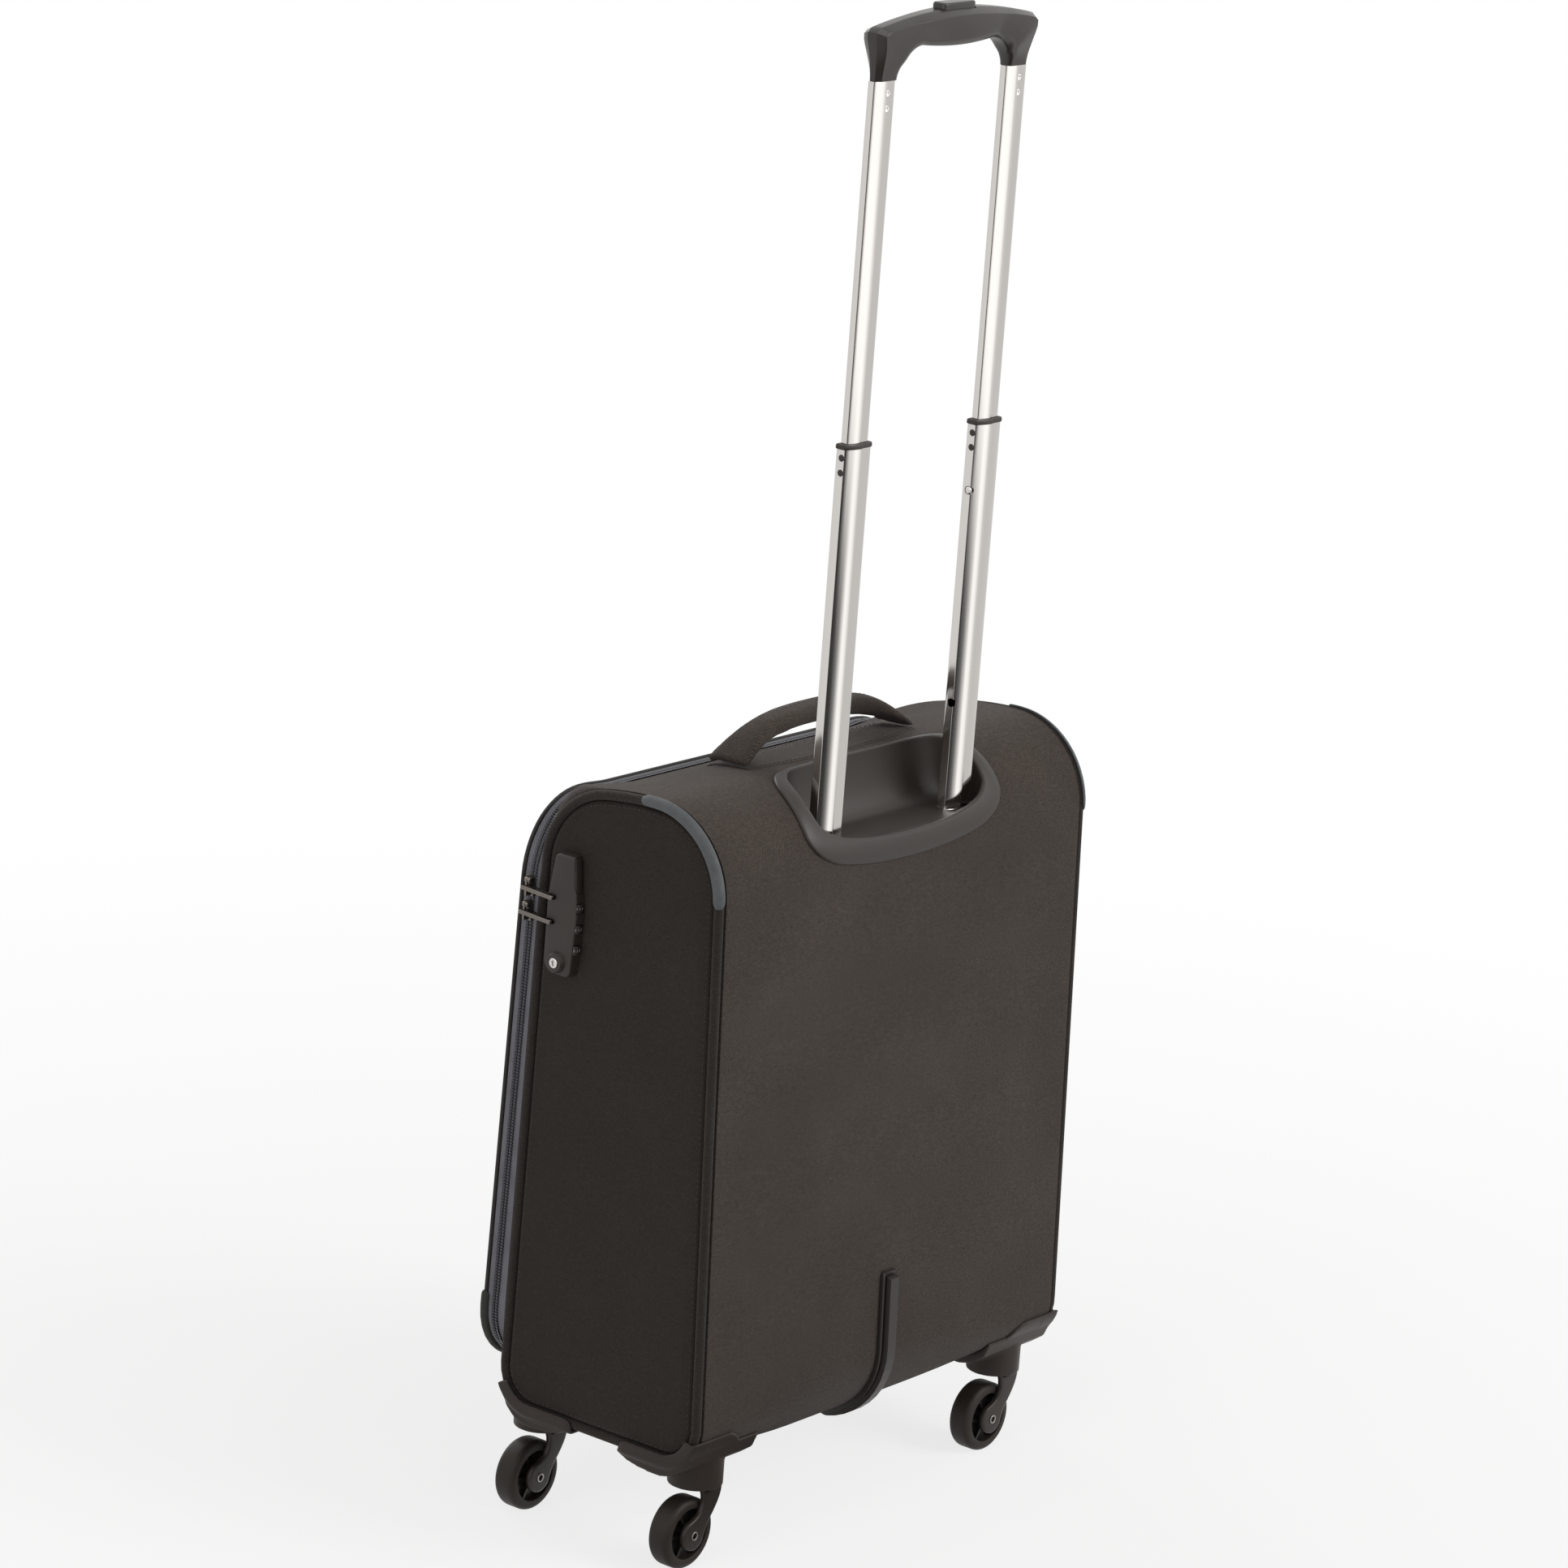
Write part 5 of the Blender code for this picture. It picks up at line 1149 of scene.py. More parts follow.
def round_edges(piece, wanted, width, segments):
    """Bevels those edges of a piece whose middle and direction pass a test."""
    pick(piece, "EDGE", wanted)
    bpy.ops.mesh.bevel(offset=width, segments=segments, affect="EDGES")
    done()


def taper(piece, wanted, scale):
    """Shrinks those faces of a piece whose middle and direction pass a test."""
    pick(piece, "FACE", wanted)
    bpy.ops.transform.resize(value=scale)
    done()


def weld(piece, *others):
    """Joins other closed shapes to a piece into one skin and removes them."""
    cut(piece, *others, operation="UNION")


def soften(piece, width, segments=2, degrees=35):
    """Rounds a piece's sharp edges and shades it smooth."""
    modify(piece, "BEVEL", width=width, segments=segments, limit_method="ANGLE",
           angle_limit=math.radians(degrees), use_clamp_overlap=True, harden_normals=False)
    smooth(piece, 40)


def copy_to(piece, name, move):
    """Copies a finished piece, with a mesh of its own, to another place."""
    made = bpy.data.objects.new(name, piece.data.copy())
    made.data.transform(Matrix.Translation(move))
    scene.collection.objects.link(made)
    return made


def metal(name, colour, roughness, grain):
    """Plated or tumbled metal: mirror-like, with faint cloudy wear; the grain is in millimetres."""
    made, tree, shader, place = new_finish(name)
    wear = add_node(tree, "TexNoise", {"Vector": place, "Scale": 1000 / grain, "Detail": 4.0,
                                       "Roughness": 0.65})
    gloss = add_node(tree, "MapRange", {"Value": wear.outputs["Fac"], "From Min": 0.3, "From Max": 0.7,
                                        "To Min": roughness - 0.07, "To Max": roughness + 0.1})
    shade = [c * 0.78 for c in linear(colour)[:3]] + [1.0]
    tint = add_node(tree, "Mix", {0: wear.outputs["Fac"], 6: shade, 7: linear(colour)}, data_type="RGBA")
    set_inputs(tree, shader, {"Base Color": tint.outputs[2], "Roughness": gloss.outputs[0], "Metallic": 1.0})
    return made


GUNMETAL = metal("gunmetal_plated_zinc", "7C756F", roughness=0.28, grain=4.0)


def coil_y(z):
    """Returns where the closed zip's coil runs at a height."""
    return front_y(z) - ZIP_HALF - 0.00015


slider = block("slider", (SLIDER_BASE, -0.0046, -0.0066), (SLIDER_BASE + 0.0016, 0.0046, 0.0074))
taper(slider, lambda place, out: out.z < -0.5, (1.0, 0.62, 1.0))
round_edges(slider, lambda place, run: abs(run.x) > 0.9, 0.0016, 4)
hump = block("hump", (SLIDER_BASE + 0.0008, -0.0036, 0.0019), (SLIDER_BASE + 0.0070, 0.0036, 0.0073))
taper(hump, lambda place, out: out.x > 0.5, (1.0, 0.66, 0.66))
modify(hump, "BEVEL", width=0.0011, segments=4)
legs = []
for side in (-1, 1):
    legs.append(block("leg", (SLIDER_BASE + 0.0008, side * 0.0030 - 0.0009, -0.0064),
                      (SLIDER_BASE + 0.0042, side * 0.0030 + 0.0009, -0.0022)))
bail = block("bail", (BAIL_X - 0.0007, -0.0007, -0.0051), (BAIL_X + 0.0007, 0.0007, 0.0050))
pick(bail, "FACE", lambda place, out: out.z < -0.5)
bpy.ops.mesh.extrude_region_move(TRANSFORM_OT_translate={"value": (0, 0, -0.0009)})
done()
pick(bail, "FACE", lambda place, out: out.x < -0.5 and place.z < -0.0045)
bpy.ops.mesh.extrude_region_move(TRANSFORM_OT_translate={"value": (-0.0048, 0, 0)})
done()
weld(slider, hump, bail, *legs)
soften(slider, 0.00028)
for hand, z in SLIDER_HEIGHTS.items():
    casting = copy_to(slider, "zip_slider_" + hand + "_casting", (0, coil_y(z), z))
    smooth(casting, 40)
    fit(casting, GUNMETAL, "case", "gunmetal", "zip_slider_" + hand)
discard(slider)

# Pull bars. A stamped bar hangs on each bail; both its flats have a sunk panel inside a raised rim, and its
# round tip lies in a slot of the lock.
PULL_TIP = Vector((0.2078, -0.04605))
PULL_HALF = 0.0030


def barrel(name, middle, radius, length, axis, sides=32):
    """Adds a cylinder with its middle at a point and its length along an axis."""
    bpy.ops.object.select_all(action="DESELECT")
    lean = Vector((0, 0, 1)).rotation_difference(Vector(axis)).to_euler()
    bpy.ops.mesh.primitive_cylinder_add(vertices=sides, radius=radius, depth=length, location=middle,
                                        rotation=lean)
    made = bpy.context.object
    made.name = name
    bpy.ops.object.transform_apply(location=True, rotation=True, scale=True)
    return made


pull = block("pull", (-0.0034, -PULL_HALF, -0.0015), (0.0285, PULL_HALF, 0.0015))
taper(pull, lambda place, out: out.x > 0.5, (1.0, 0.60, 1.0))
round_edges(pull, lambda place, run: abs(run.z) > 0.9, 0.0014, 4)
for level in (1, -1):
    pick(pull, "FACE", lambda place, out: out.z * level > 0.9)
    bpy.ops.mesh.inset(thickness=0.00075)
    bpy.ops.transform.translate(value=(0, 0, -level * 0.00042))
    done()
cut(pull, barrel("eye", (0, 0, 0), 0.00152, 0.01, (0, 0, 1), 24))
soften(pull, 0.00022)
for hand, z in SLIDER_HEIGHTS.items():
    pivot = Vector((BAIL_X, coil_y(z)))
    aim = PULL_TIP - pivot
    bar = copy_to(pull, "zip_pull_" + hand, (0, 0, 0))
    swing = Matrix.Rotation(math.atan2(aim.y, aim.x), 4, "Z")
    bar.data.transform(Matrix.Translation((pivot.x, pivot.y, z)) @ swing)
    smooth(bar, 40)
    fit(bar, GUNMETAL, "puller_" + hand, "gunmetal", "zip_puller_" + hand)
discard(pull)

# Pocket zip. A narrow tape with a fine coil is sewn along the pocket's mouth; a small zinc casting with a
# tapered tag closes it at its right end.
POCKET_ZIP_Z = 0.4023
POCKET_ZIP_HALF = 0.128
POCKET_TAPE = ((0.4003, -0.0006), (0.4003, -0.0001), (0.4016, -0.0001), (0.4017, 0.0), (0.4029, 0.0),
               (0.4030, -0.0001), (0.4048, -0.0001), (0.4048, -0.0006))
rings = []
for x in (-POCKET_ZIP_HALF, POCKET_ZIP_HALF):
    rings.append([in_front(x, POCKET_BACK + out, z) for z, out in POCKET_TAPE])
mouth = skin("pocket_zip_tape", rings)
smooth(mouth, 30)
fit(mouth, TAPE_CLOTH, "lid", "zip_tape")
mouth.data.materials.append(COIL_NYLON)
for face in mouth.data.polygons:
    face.material_index = 1 if 0.40155 < face.center.z < 0.40305 else 0
base = in_front(0, POCKET_BACK + 0.0002, POCKET_ZIP_Z).y
tag = block("pocket_slider_casting", (0.1152, base - 0.0030, 0.4004), (0.1248, base, 0.4042))
round_edges(tag, lambda place, run: abs(run.y) > 0.9, 0.0016, 4)
hang = block("hang", (0.1180, base - 0.0066, 0.4009), (0.1220, base - 0.0020, 0.4037))
taper(hang, lambda place, out: out.y < -0.5, (0.6, 1.0, 0.7))
weld(tag, hang)
soften(tag, 0.0003)
fit(tag, GUNMETAL, "pocket_slider", "gunmetal", "pocket_slider")

# Lock case. A matt ABS moulding screwed to the side from within: a flat face that narrows towards its top, an
# upright flank with the dials' windows, a proud round boss for the key and slots for the two pulls.
LOCK_BASE = 0.1990
LOCK_FACE = 0.2064
KEY_Y = -0.0395
KEY_Z = 0.402
DIAL_X = 0.20258
DIAL_Y = -0.02709
DIAL_HEIGHTS = {"upper": 0.442, "middle": 0.4275, "lower": 0.413}
MATT_BLACK = moulded("matt_black_abs", "29231F", "352E29", roughness=0.50, grit=0.5, shine=0.42)
CHROME = metal("chromed_zinc", "E2E0DD", roughness=0.14, grain=2.0)
lock_corners = [Vector(c) for c in ((-0.0508, 0.3938), (-0.0276, 0.3933), (-0.0244, 0.4371),
                                    (-0.0283, 0.4768), (-0.0455, 0.4764), (-0.0508, 0.4453))]
LOCK_RADII = (0.0095, 0.0050, 0.060, 0.0030, 0.0040, 0.050)
LOCK_STEPS = ((-0.0007, LOCK_BASE), (-0.0003, LOCK_FACE - 0.0030), (0.0, LOCK_FACE - 0.0011),
              (0.00025, LOCK_FACE - 0.0005), (0.0007, LOCK_FACE - 0.00015), (0.0014, LOCK_FACE))
rings = []
for inset, x in LOCK_STEPS:
    line = rounded(moved_in(lock_corners, inset), [r - inset for r in LOCK_RADII], [10, 8, 6, 6, 6, 6])
    rings.append([(x, p.x, p.y) for p in line])
lock = skin("lock_case_moulding", rings)
boss = barrel("boss", (LOCK_FACE + 0.0013, KEY_Y, KEY_Z), 0.0078, 0.0036, (1, 0, 0), 56)
pick(boss, "FACE", lambda place, out: out.x > 0.9)
bpy.ops.transform.resize(value=(1.0, 0.74, 0.74))
bpy.ops.mesh.inset(thickness=0.0013)
bpy.ops.transform.translate(value=(-0.0004, 0, 0))
done()
soften(boss, 0.0007, 4, 25)

# Lock release. A press button of the same ABS makes up the upper end of the flank; its inner edge runs down
# the ridge and curls out at its foot.
RELEASE_GAP = 0.0002
release_line = [Vector(c) for c in ((-0.0200, 0.4505), (-0.0200, 0.4800), (-0.0291, 0.4800),
                                    (-0.0283, 0.4640), (-0.0272, 0.4555), (-0.0250, 0.4505))]


def release_tool(name, grow, low):
    """Returns the release button's room, made larger or smaller, from a depth outwards."""
    line = moved_in(release_line, -grow)
    return skin(name, [[(x, p.x, p.y) for p in line] for x in (low, LOCK_FACE + 0.004)])


release = copy_to(lock, "lock_release_button", (0, 0, 0))
cut(release, release_tool("room", -RELEASE_GAP, 0.2008), operation="INTERSECT")
soften(release, 0.0004, 3)
fit(release, MATT_BLACK, "lock_release", "black_plastic", "lock_release")
weld(lock, boss)
tools = [release_tool("well", RELEASE_GAP, 0.1984)]
tools.append(barrel("key_bore", (LOCK_FACE, KEY_Y, KEY_Z), 0.0038, 0.020, (1, 0, 0), 40))
for z in DIAL_HEIGHTS.values():
    tools.append(block("window", (DIAL_X - 0.0039, DIAL_Y - 0.0039, z - 0.0035),
                       (DIAL_X + 0.0034, -0.015, z + 0.0035)))
for z in SLIDER_HEIGHTS.values():
    slot = block("slot", (LOCK_FACE - 0.0020, -0.065, z - 0.0017), (LOCK_FACE + 0.01, -0.0432, z + 0.0017))
    round_edges(slot, lambda place, run: abs(run.x) > 0.9 and place.y > -0.044, 0.0016, 4)
    tools.append(slot)
cut(lock, *tools)
smooth(lock, 32)
fit(lock, MATT_BLACK, "case", "black_plastic", "lock_case")

# Lock dials. Three black ABS thumbwheels with sunk finger grips turn on an upright pin; each carries the
# numbers 0 to 9, stamped and filled with paint.
DIAL_RADIUS = 0.0034
DIAL_SIDES = 40
DIGIT_SIZE = 0.0023
DIGIT_THICK = 0.00008
# The filled paint is chalky, and paler and darker in patches of 0.4 mm.
WHITE_PAINT, tree, shader, place = new_finish("white_filled_paint")
chips = add_node(tree, "TexNoise", {"Vector": place, "Scale": 2500.0, "Detail": 2.0})
tone = add_node(tree, "Mix", {0: chips.outputs["Fac"], 6: linear("9B9893"), 7: linear("CFCCC7")},
                data_type="RGBA").outputs[2]
set_inputs(tree, shader, {"Base Color": tone, "Roughness": 0.5})


def join(pieces):
    """Joins pieces into the first of them."""
    bpy.ops.object.select_all(action="DESELECT")
    for piece in pieces:
        piece.select_set(True)
    bpy.context.view_layer.objects.active = pieces[0]
    bpy.ops.object.join()
    return pieces[0]


for hand, z in DIAL_HEIGHTS.items():
    dial = barrel("lock_dial_" + hand + "_wheel", (DIAL_X, DIAL_Y, z), DIAL_RADIUS, 0.006, (0, 0, 1),
                  DIAL_SIDES)
    pick(dial, "FACE", lambda place, out: abs(out.z) < 0.5
         and round(math.atan2(out.y, out.x) / (2 * math.pi) * DIAL_SIDES) % 4 == 1)
    bpy.ops.mesh.inset(thickness=0.00008, use_individual=True)
    bpy.ops.mesh.extrude_region_shrink_fatten(TRANSFORM_OT_shrink_fatten={"value": -0.0004})
    done()
    round_edges(dial, lambda place, run: abs(place.z - z) > 0.0029 and abs(run.z) < 0.1, 0.0003, 2)
    smooth(dial, 30)
    fit(dial, SATIN_BLACK, "dial_" + hand, "black_plastic", "lock_dial_" + hand)
    digits = []
    for number in range(10):
        turn = 2 * math.pi * (number + 0.9) / 10
        out = Vector((math.cos(turn), math.sin(turn), 0))
        bpy.ops.object.select_all(action="DESELECT")
        bpy.ops.object.text_add(location=(0, 0, 0))
        digit = bpy.context.object
        digit.data.body = str(number)
        digit.data.size = DIGIT_SIZE
        digit.data.align_x = "CENTER"
        digit.data.align_y = "CENTER"
        digit.data.extrude = DIGIT_THICK
        digit.data.resolution_u = 3
        bpy.ops.object.convert(target="MESH")
        along = Vector((0, 0, 1)).cross(out)
        turned = Matrix((along, Vector((0, 0, 1)), out)).transposed().to_4x4()
        spot = Vector((DIAL_X, DIAL_Y, z)) + out * (DIAL_RADIUS + 0.00006)
        bpy.context.object.data.transform(Matrix.Translation(spot) @ turned)
        digits.append(bpy.context.object)
    numbers = join(digits)
    numbers.name = "lock_dial_" + hand + "_numbers"
    fit(numbers, WHITE_PAINT, "dial_" + hand, "black_plastic")

# Key plug. A chromed zinc barrel turns in the boss; its rim is bevelled, and a stepped slot for a flat key is
# cut into its face.
PLUG_FACE = LOCK_FACE + 0.0033
plug = barrel("lock_key_plug_barrel", (PLUG_FACE - 0.004, KEY_Y, KEY_Z), 0.0035, 0.008, (1, 0, 0), 40)
round_edges(plug, lambda place, run: place.x > LOCK_FACE and abs(run.x) < 0.1, 0.0004, 3)
slot = block("slot", (PLUG_FACE - 0.002, KEY_Y - 0.0005, KEY_Z - 0.0020),
             (PLUG_FACE + 0.002, KEY_Y + 0.0005, KEY_Z + 0.0020))
notch = block("notch", (PLUG_FACE - 0.002, KEY_Y - 0.0012, KEY_Z - 0.0002),
              (PLUG_FACE + 0.002, KEY_Y + 0.0001, KEY_Z + 0.0014))
cut(plug, slot, notch)
smooth(plug, 32)
fit(plug, CHROME, "key_plug", "bright_steel", "lock_key_plug")

# Trolley tubes. Two stages of polished, clear anodised aluminium extrusion, a flat oblong with a raised roll
# along one edge of its back, slide in each other; the lower stage slides in the sleeves inside the case.
LOWER_HALF = (0.0125, 0.0052)
UPPER_HALF = (0.01025, 0.00375)
LOWER_SPAN = (0.423, 0.757)
UPPER_SPAN = (0.700, 0.9997)
TUBE_WALL = 0.001
PIN_Z = 0.712
SPARE_Z = 0.564
PIN_HOLE_RADIUS = 0.0030
RIVET_HEIGHTS = {"upper": 0.9915, "lower": 0.9813}
RIVET_ASIDE = 0.0030
RIVET_OUT = 0.82 * UPPER_HALF[1]


def tube_profile(half, inset):
    """Returns the extrusion's section around its middle, moved in by an inset."""
    shares = ((-1, -1), (1, -1), (1, 0.335), (0.728, 0.633), (0.456, 0.838), (0.184, 0.96), (-0.088, 1),
              (-0.2, 0.82), (-1, 0.82))
    corners = [Vector((a * half[0], b * half[1])) for a, b in shares]
    roll = 2.1 * half[0]
    radii = [0.0011, 0.0009, 0.0008, roll, roll, roll, 0.0010, 0.0008, 0.0011]
    bends = (-1, -1, -1, -1, -1, -1, -1, 1, -1)
    radii = [max(r + inset * way, 0.0002) for r, way in zip(radii, bends)]
    return rounded(moved_in(corners, inset), radii, [4, 4, 4, 6, 6, 6, 4, 4, 4])


def tube(name, x, half, span, wall):
    """Draws a hollow tube of the extrusion between two heights."""
    rings = []
    for inset, z in ((0.0, span[0]), (0.0, span[1]), (wall, span[1]), (wall, span[0])):
        rings.append([(x + p.x, TUBE_Y + p.y, z) for p in tube_profile(half, inset)])
    return skin(name, rings, closed=True)


for hand, side in SIDES:
    lower = tube("lower_tube_" + hand + "_extrusion", side * TUBE_X, LOWER_HALF, LOWER_SPAN, TUBE_WALL)
    inner_face = side * (TUBE_X - LOWER_HALF[0])
    for z in (PIN_Z, SPARE_Z):
        cut(lower, barrel("hole", (inner_face, TUBE_Y, z), PIN_HOLE_RADIUS, 0.005, (1, 0, 0), 28))
    smooth(lower, 24)
    fit(lower, ALUMINIUM, "lower_stage", "aluminium", "lower_tube_" + hand)
    upper = tube("upper_tube_" + hand + "_extrusion", side * TUBE_X, UPPER_HALF, UPPER_SPAN, TUBE_WALL)
    for z in RIVET_HEIGHTS.values():
        cut(upper, barrel("hole", (side * TUBE_X - RIVET_ASIDE, TUBE_Y + RIVET_OUT, z), 0.0024, 0.0016,
                          (0, 1, 0), 32))
    smooth(upper, 24)
    fit(upper, ALUMINIUM, "upper_stage", "aluminium", "upper_tube_" + hand)

# Tube collars. A black acetal ring plugs the top of each lower tube, follows its section with a small lip and
# wipes the upper tube; two plugs through each edge of the tube hold it.
COLLAR_STEPS = ((LOWER_HALF, -0.0001, 0.7572), (LOWER_HALF, -0.0008, 0.7574), (LOWER_HALF, -0.0009, 0.7582),
                (LOWER_HALF, -0.0009, 0.7594), (LOWER_HALF, -0.0005, 0.7604), (LOWER_HALF, 0.0003, 0.7607),
                (UPPER_HALF, -0.0005, 0.7607), (UPPER_HALF, -0.0003, 0.7572))
PLUG_HEIGHTS = {"upper": 0.7515, "lower": 0.7415}
for hand, side in SIDES:
    rings = []
    for size, inset, z in COLLAR_STEPS:
        rings.append([(side * TUBE_X + p.x, TUBE_Y + p.y, z) for p in tube_profile(size, inset)])
    collar = skin("tube_collar_" + hand + "_ring", rings, closed=True)
    smooth(collar, 40)
    fit(collar, SATIN_BLACK, "lower_stage", "black_plastic", "tube_collar_" + hand)
    for face in (-1, 1):
        for name, z in PLUG_HEIGHTS.items():
            x = side * TUBE_X + face * (LOWER_HALF[0] - 0.0004)
            stud = barrel("collar_plug_" + hand + ("_out_" if face == side else "_in_") + name,
                          (x, TUBE_Y - 0.0004, z), 0.0024, 0.0009, (1, 0, 0), 28)
            pick(stud, "FACE", lambda place, out: out.x * face > 0.9)
            bpy.ops.mesh.inset(thickness=0.0008)
            bpy.ops.transform.translate(value=(face * 0.0002, 0, 0))
            done()
            soften(stud, 0.00015)
            fit(stud, SATIN_BLACK, "lower_stage", "black_plastic")

# Lock pins. A bright steel pin with a low dome springs into the hole on the inner edge of each lower tube;
# the release draws it in.
for hand, side in SIDES:
    x = side * (TUBE_X - LOWER_HALF[0])
    pin = barrel("lock_pin_" + hand + "_button", (x + side * 0.0005, TUBE_Y, PIN_Z), 0.0025, 0.0006,
                 (1, 0, 0), 32)
    pick(pin, "FACE", lambda place, out: out.x * side < -0.9)
    bpy.ops.mesh.inset(thickness=0.0007)
    bpy.ops.transform.translate(value=(-side * 0.0003, 0, 0))
    bpy.ops.mesh.inset(thickness=0.0008)
    bpy.ops.transform.translate(value=(-side * 0.0001, 0, 0))
    done()
    smooth(pin, 60)
    fit(pin, CHROME, "pin_" + hand, "bright_steel", "lock_pin_" + hand)

# Grip rivets. Two hollow aluminium rivets in the flat of each upper tube hold the grip's plugs; they are set
# almost flush, so that they pass into the lower tube.
RIVET_ALUMINIUM = metal("tumbled_rivet_aluminium", "F3F1EE", roughness=0.42, grain=2.0)
rivet = barrel("rivet", (0, 0, 0), 0.0023, 0.0010, (0, 1, 0), 32)
pick(rivet, "FACE", lambda place, out: out.y > 0.9)
bpy.ops.mesh.inset(thickness=0.0010)
bpy.ops.mesh.extrude_region_move(TRANSFORM_OT_translate={"value": (0, -0.0006, 0)})
done()
soften(rivet, 0.0002)
for hand, side in SIDES:
    for name, z in RIVET_HEIGHTS.items():
        head = copy_to(rivet, "grip_rivet_" + hand + "_" + name,
                       (side * TUBE_X - RIVET_ASIDE, TUBE_Y + RIVET_OUT - 0.0004, z))
        smooth(head, 40)
        fit(head, RIVET_ALUMINIUM, "upper_stage", "aluminium")
discard(rivet)

# Grip. Two soft-touch nylon halves make one arched bar on flared legs, with a broad chamfer along its crown
# and a rounded underside for the fingers. The release button sits in a well in the crown.
GRIP_FOOT = 1.000
GRIP_CROWN = 1.0440
GRIP_UNDER = 1.0208
GRIP_REACH = 0.0855
LEG_INNER = 0.0592
LEG_OUTER = 0.0818
LEG_HALF_DEPTH = 0.0050
BAR_HALF_DEPTH = 0.0096
ARCH_START = 0.050
CROWN_FALL = 0.0098
GRIP_NYLON = moulded("soft_touch_nylon", "2B2622", "39332E", roughness=0.24, grit=0.6, shine=0.5)


def crown_z(x):
    """Returns the height of the grip's crown."""
    return GRIP_CROWN - CROWN_FALL * (abs(x) / GRIP_REACH) ** 1.9


def grip_stations():
    """Returns points in (x, z) under and over the grip, and its half depth, from right foot to middle."""
    outer = [Vector((LEG_OUTER, GRIP_FOOT)), Vector((LEG_OUTER + 0.0004, GRIP_FOOT + 0.010)),
             Vector((LEG_OUTER + 0.0016, GRIP_FOOT + 0.020)), Vector((GRIP_REACH, GRIP_FOOT + 0.0300)),
             Vector((GRIP_REACH - 0.0006, crown_z(GRIP_REACH - 0.001) - 0.0012)),
             Vector((GRIP_REACH - 0.0040, crown_z(GRIP_REACH - 0.004)))]
    outer += [Vector((x, crown_z(x))) for x in (0.074, 0.066, 0.058, ARCH_START)]
    over = even(outer, 0.0040, closed=False)
    count = len(over)
    stations = []
    for k in range(count):
        turn = math.pi / 2 * k / (count - 1)
        x = LEG_INNER - 0.0225 * (1 - math.cos(turn))
        low = Vector((x, GRIP_FOOT + (GRIP_UNDER - GRIP_FOOT) * math.sin(turn)))
        share = min(1.0, max(0.0, (over[k].y - GRIP_FOOT) / 0.031))
        stations.append((low, over[k], LEG_HALF_DEPTH + 0.0046 * share * share * (3 - 2 * share)))
    start = stations[-1][0].x
    for k in range(1, 10):
        share = 1 - k / 9
        bulge = 1 - share ** 2
        low = Vector((start * share, GRIP_UNDER - 0.0020 * bulge))
        high = Vector((ARCH_START * share, crown_z(ARCH_START * share)))
        stations.append((low, high, BAR_HALF_DEPTH + 0.0022 * bulge))
    return stations


half_way = grip_stations()
stations = half_way + [(Vector((-a.x, a.y)), Vector((-b.x, b.y)), deep)
                       for a, b, deep in reversed(half_way[:-1])]
rings = []
for low, high, deep in stations:
    tall = (high - low).length
    up = (high - low) / tall
    facet = 0.62 * deep
    corners = [Vector((-deep, 0)), Vector((deep, 0)), Vector((deep, tall - 0.0048)),
               Vector((deep - facet, tall - 0.0006)), Vector((facet - deep, tall - 0.0006)),
               Vector((-deep, tall - 0.0048))]
    low_round = min(0.42 * deep * 2, 0.0064)
    section = rounded(corners, [low_round, low_round, 0.0007, 0.0012, 0.0012, 0.0007], [7, 7, 3, 3, 3, 3])
    rings.append([(low.x + up.x * p.y, TUBE_Y + p.x, low.y + up.y * p.y) for p in section])
grip = skin("grip_moulding", rings)
BUTTON_HALF = (0.0170, 0.00575)
BUTTON_GAP = 0.0005
BUTTON_ROUND = 0.0028
WELL_FLOOR = 1.0320
well = block("well", (-BUTTON_HALF[0] - BUTTON_GAP, TUBE_Y - BUTTON_HALF[1] - BUTTON_GAP, WELL_FLOOR),
             (BUTTON_HALF[0] + BUTTON_GAP, TUBE_Y + BUTTON_HALF[1] + BUTTON_GAP, 1.06))
round_edges(well, lambda place, run: abs(run.z) > 0.9, BUTTON_ROUND, 5)
cut(grip, well)
smooth(grip, 28)
fit(grip, GRIP_NYLON, "upper_stage", "black_plastic", "grip")

# Release button. A crowned nylon cap with a soft edge stands in the grip's well; the zinc-plated steel yoke
# under it draws the lock pins.
button = block("release_button_cap", (-BUTTON_HALF[0], TUBE_Y - BUTTON_HALF[1], 1.0365),
               (BUTTON_HALF[0], TUBE_Y + BUTTON_HALF[1], 1.0462))
round_edges(button, lambda place, run: abs(run.z) > 0.9, BUTTON_ROUND, 5)
pick(button, "FACE", lambda place, out: out.z > 0.9)
bpy.ops.mesh.inset(thickness=0.0011)
bpy.ops.transform.translate(value=(0, 0, 0.0007))
done()
soften(button, 0.0006, 3, 20)
fit(button, GRIP_NYLON, "release", "black_plastic", "release_button")
STEEL = metal("zinc_plated_steel", "BDBBB6", roughness=0.32, grain=3.0)
repaint(STEEL, "release_yoke")

# Corner feet. Each is one tough ABS moulding that cups a bottom corner of the case and carries the bearing
# housing of a caster; its edges run out in soft round tips.
FOOT_ABS = moulded("foot_abs", "332C28", "433B36", roughness=0.44, grit=0.8, shine=0.18)


def worked_copy(node, name):
    """Copies a CAD node, merges its corners and dissolves its flat triangles, ready to be worked on."""
    made = bpy.data.objects.new(name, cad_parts[node].data.copy())
    scene.collection.objects.link(made)
    edit_all(made)
    bpy.ops.mesh.remove_doubles(threshold=0.00001)
    bpy.ops.mesh.dissolve_limited(angle_limit=math.radians(0.6))
    done()
    return made


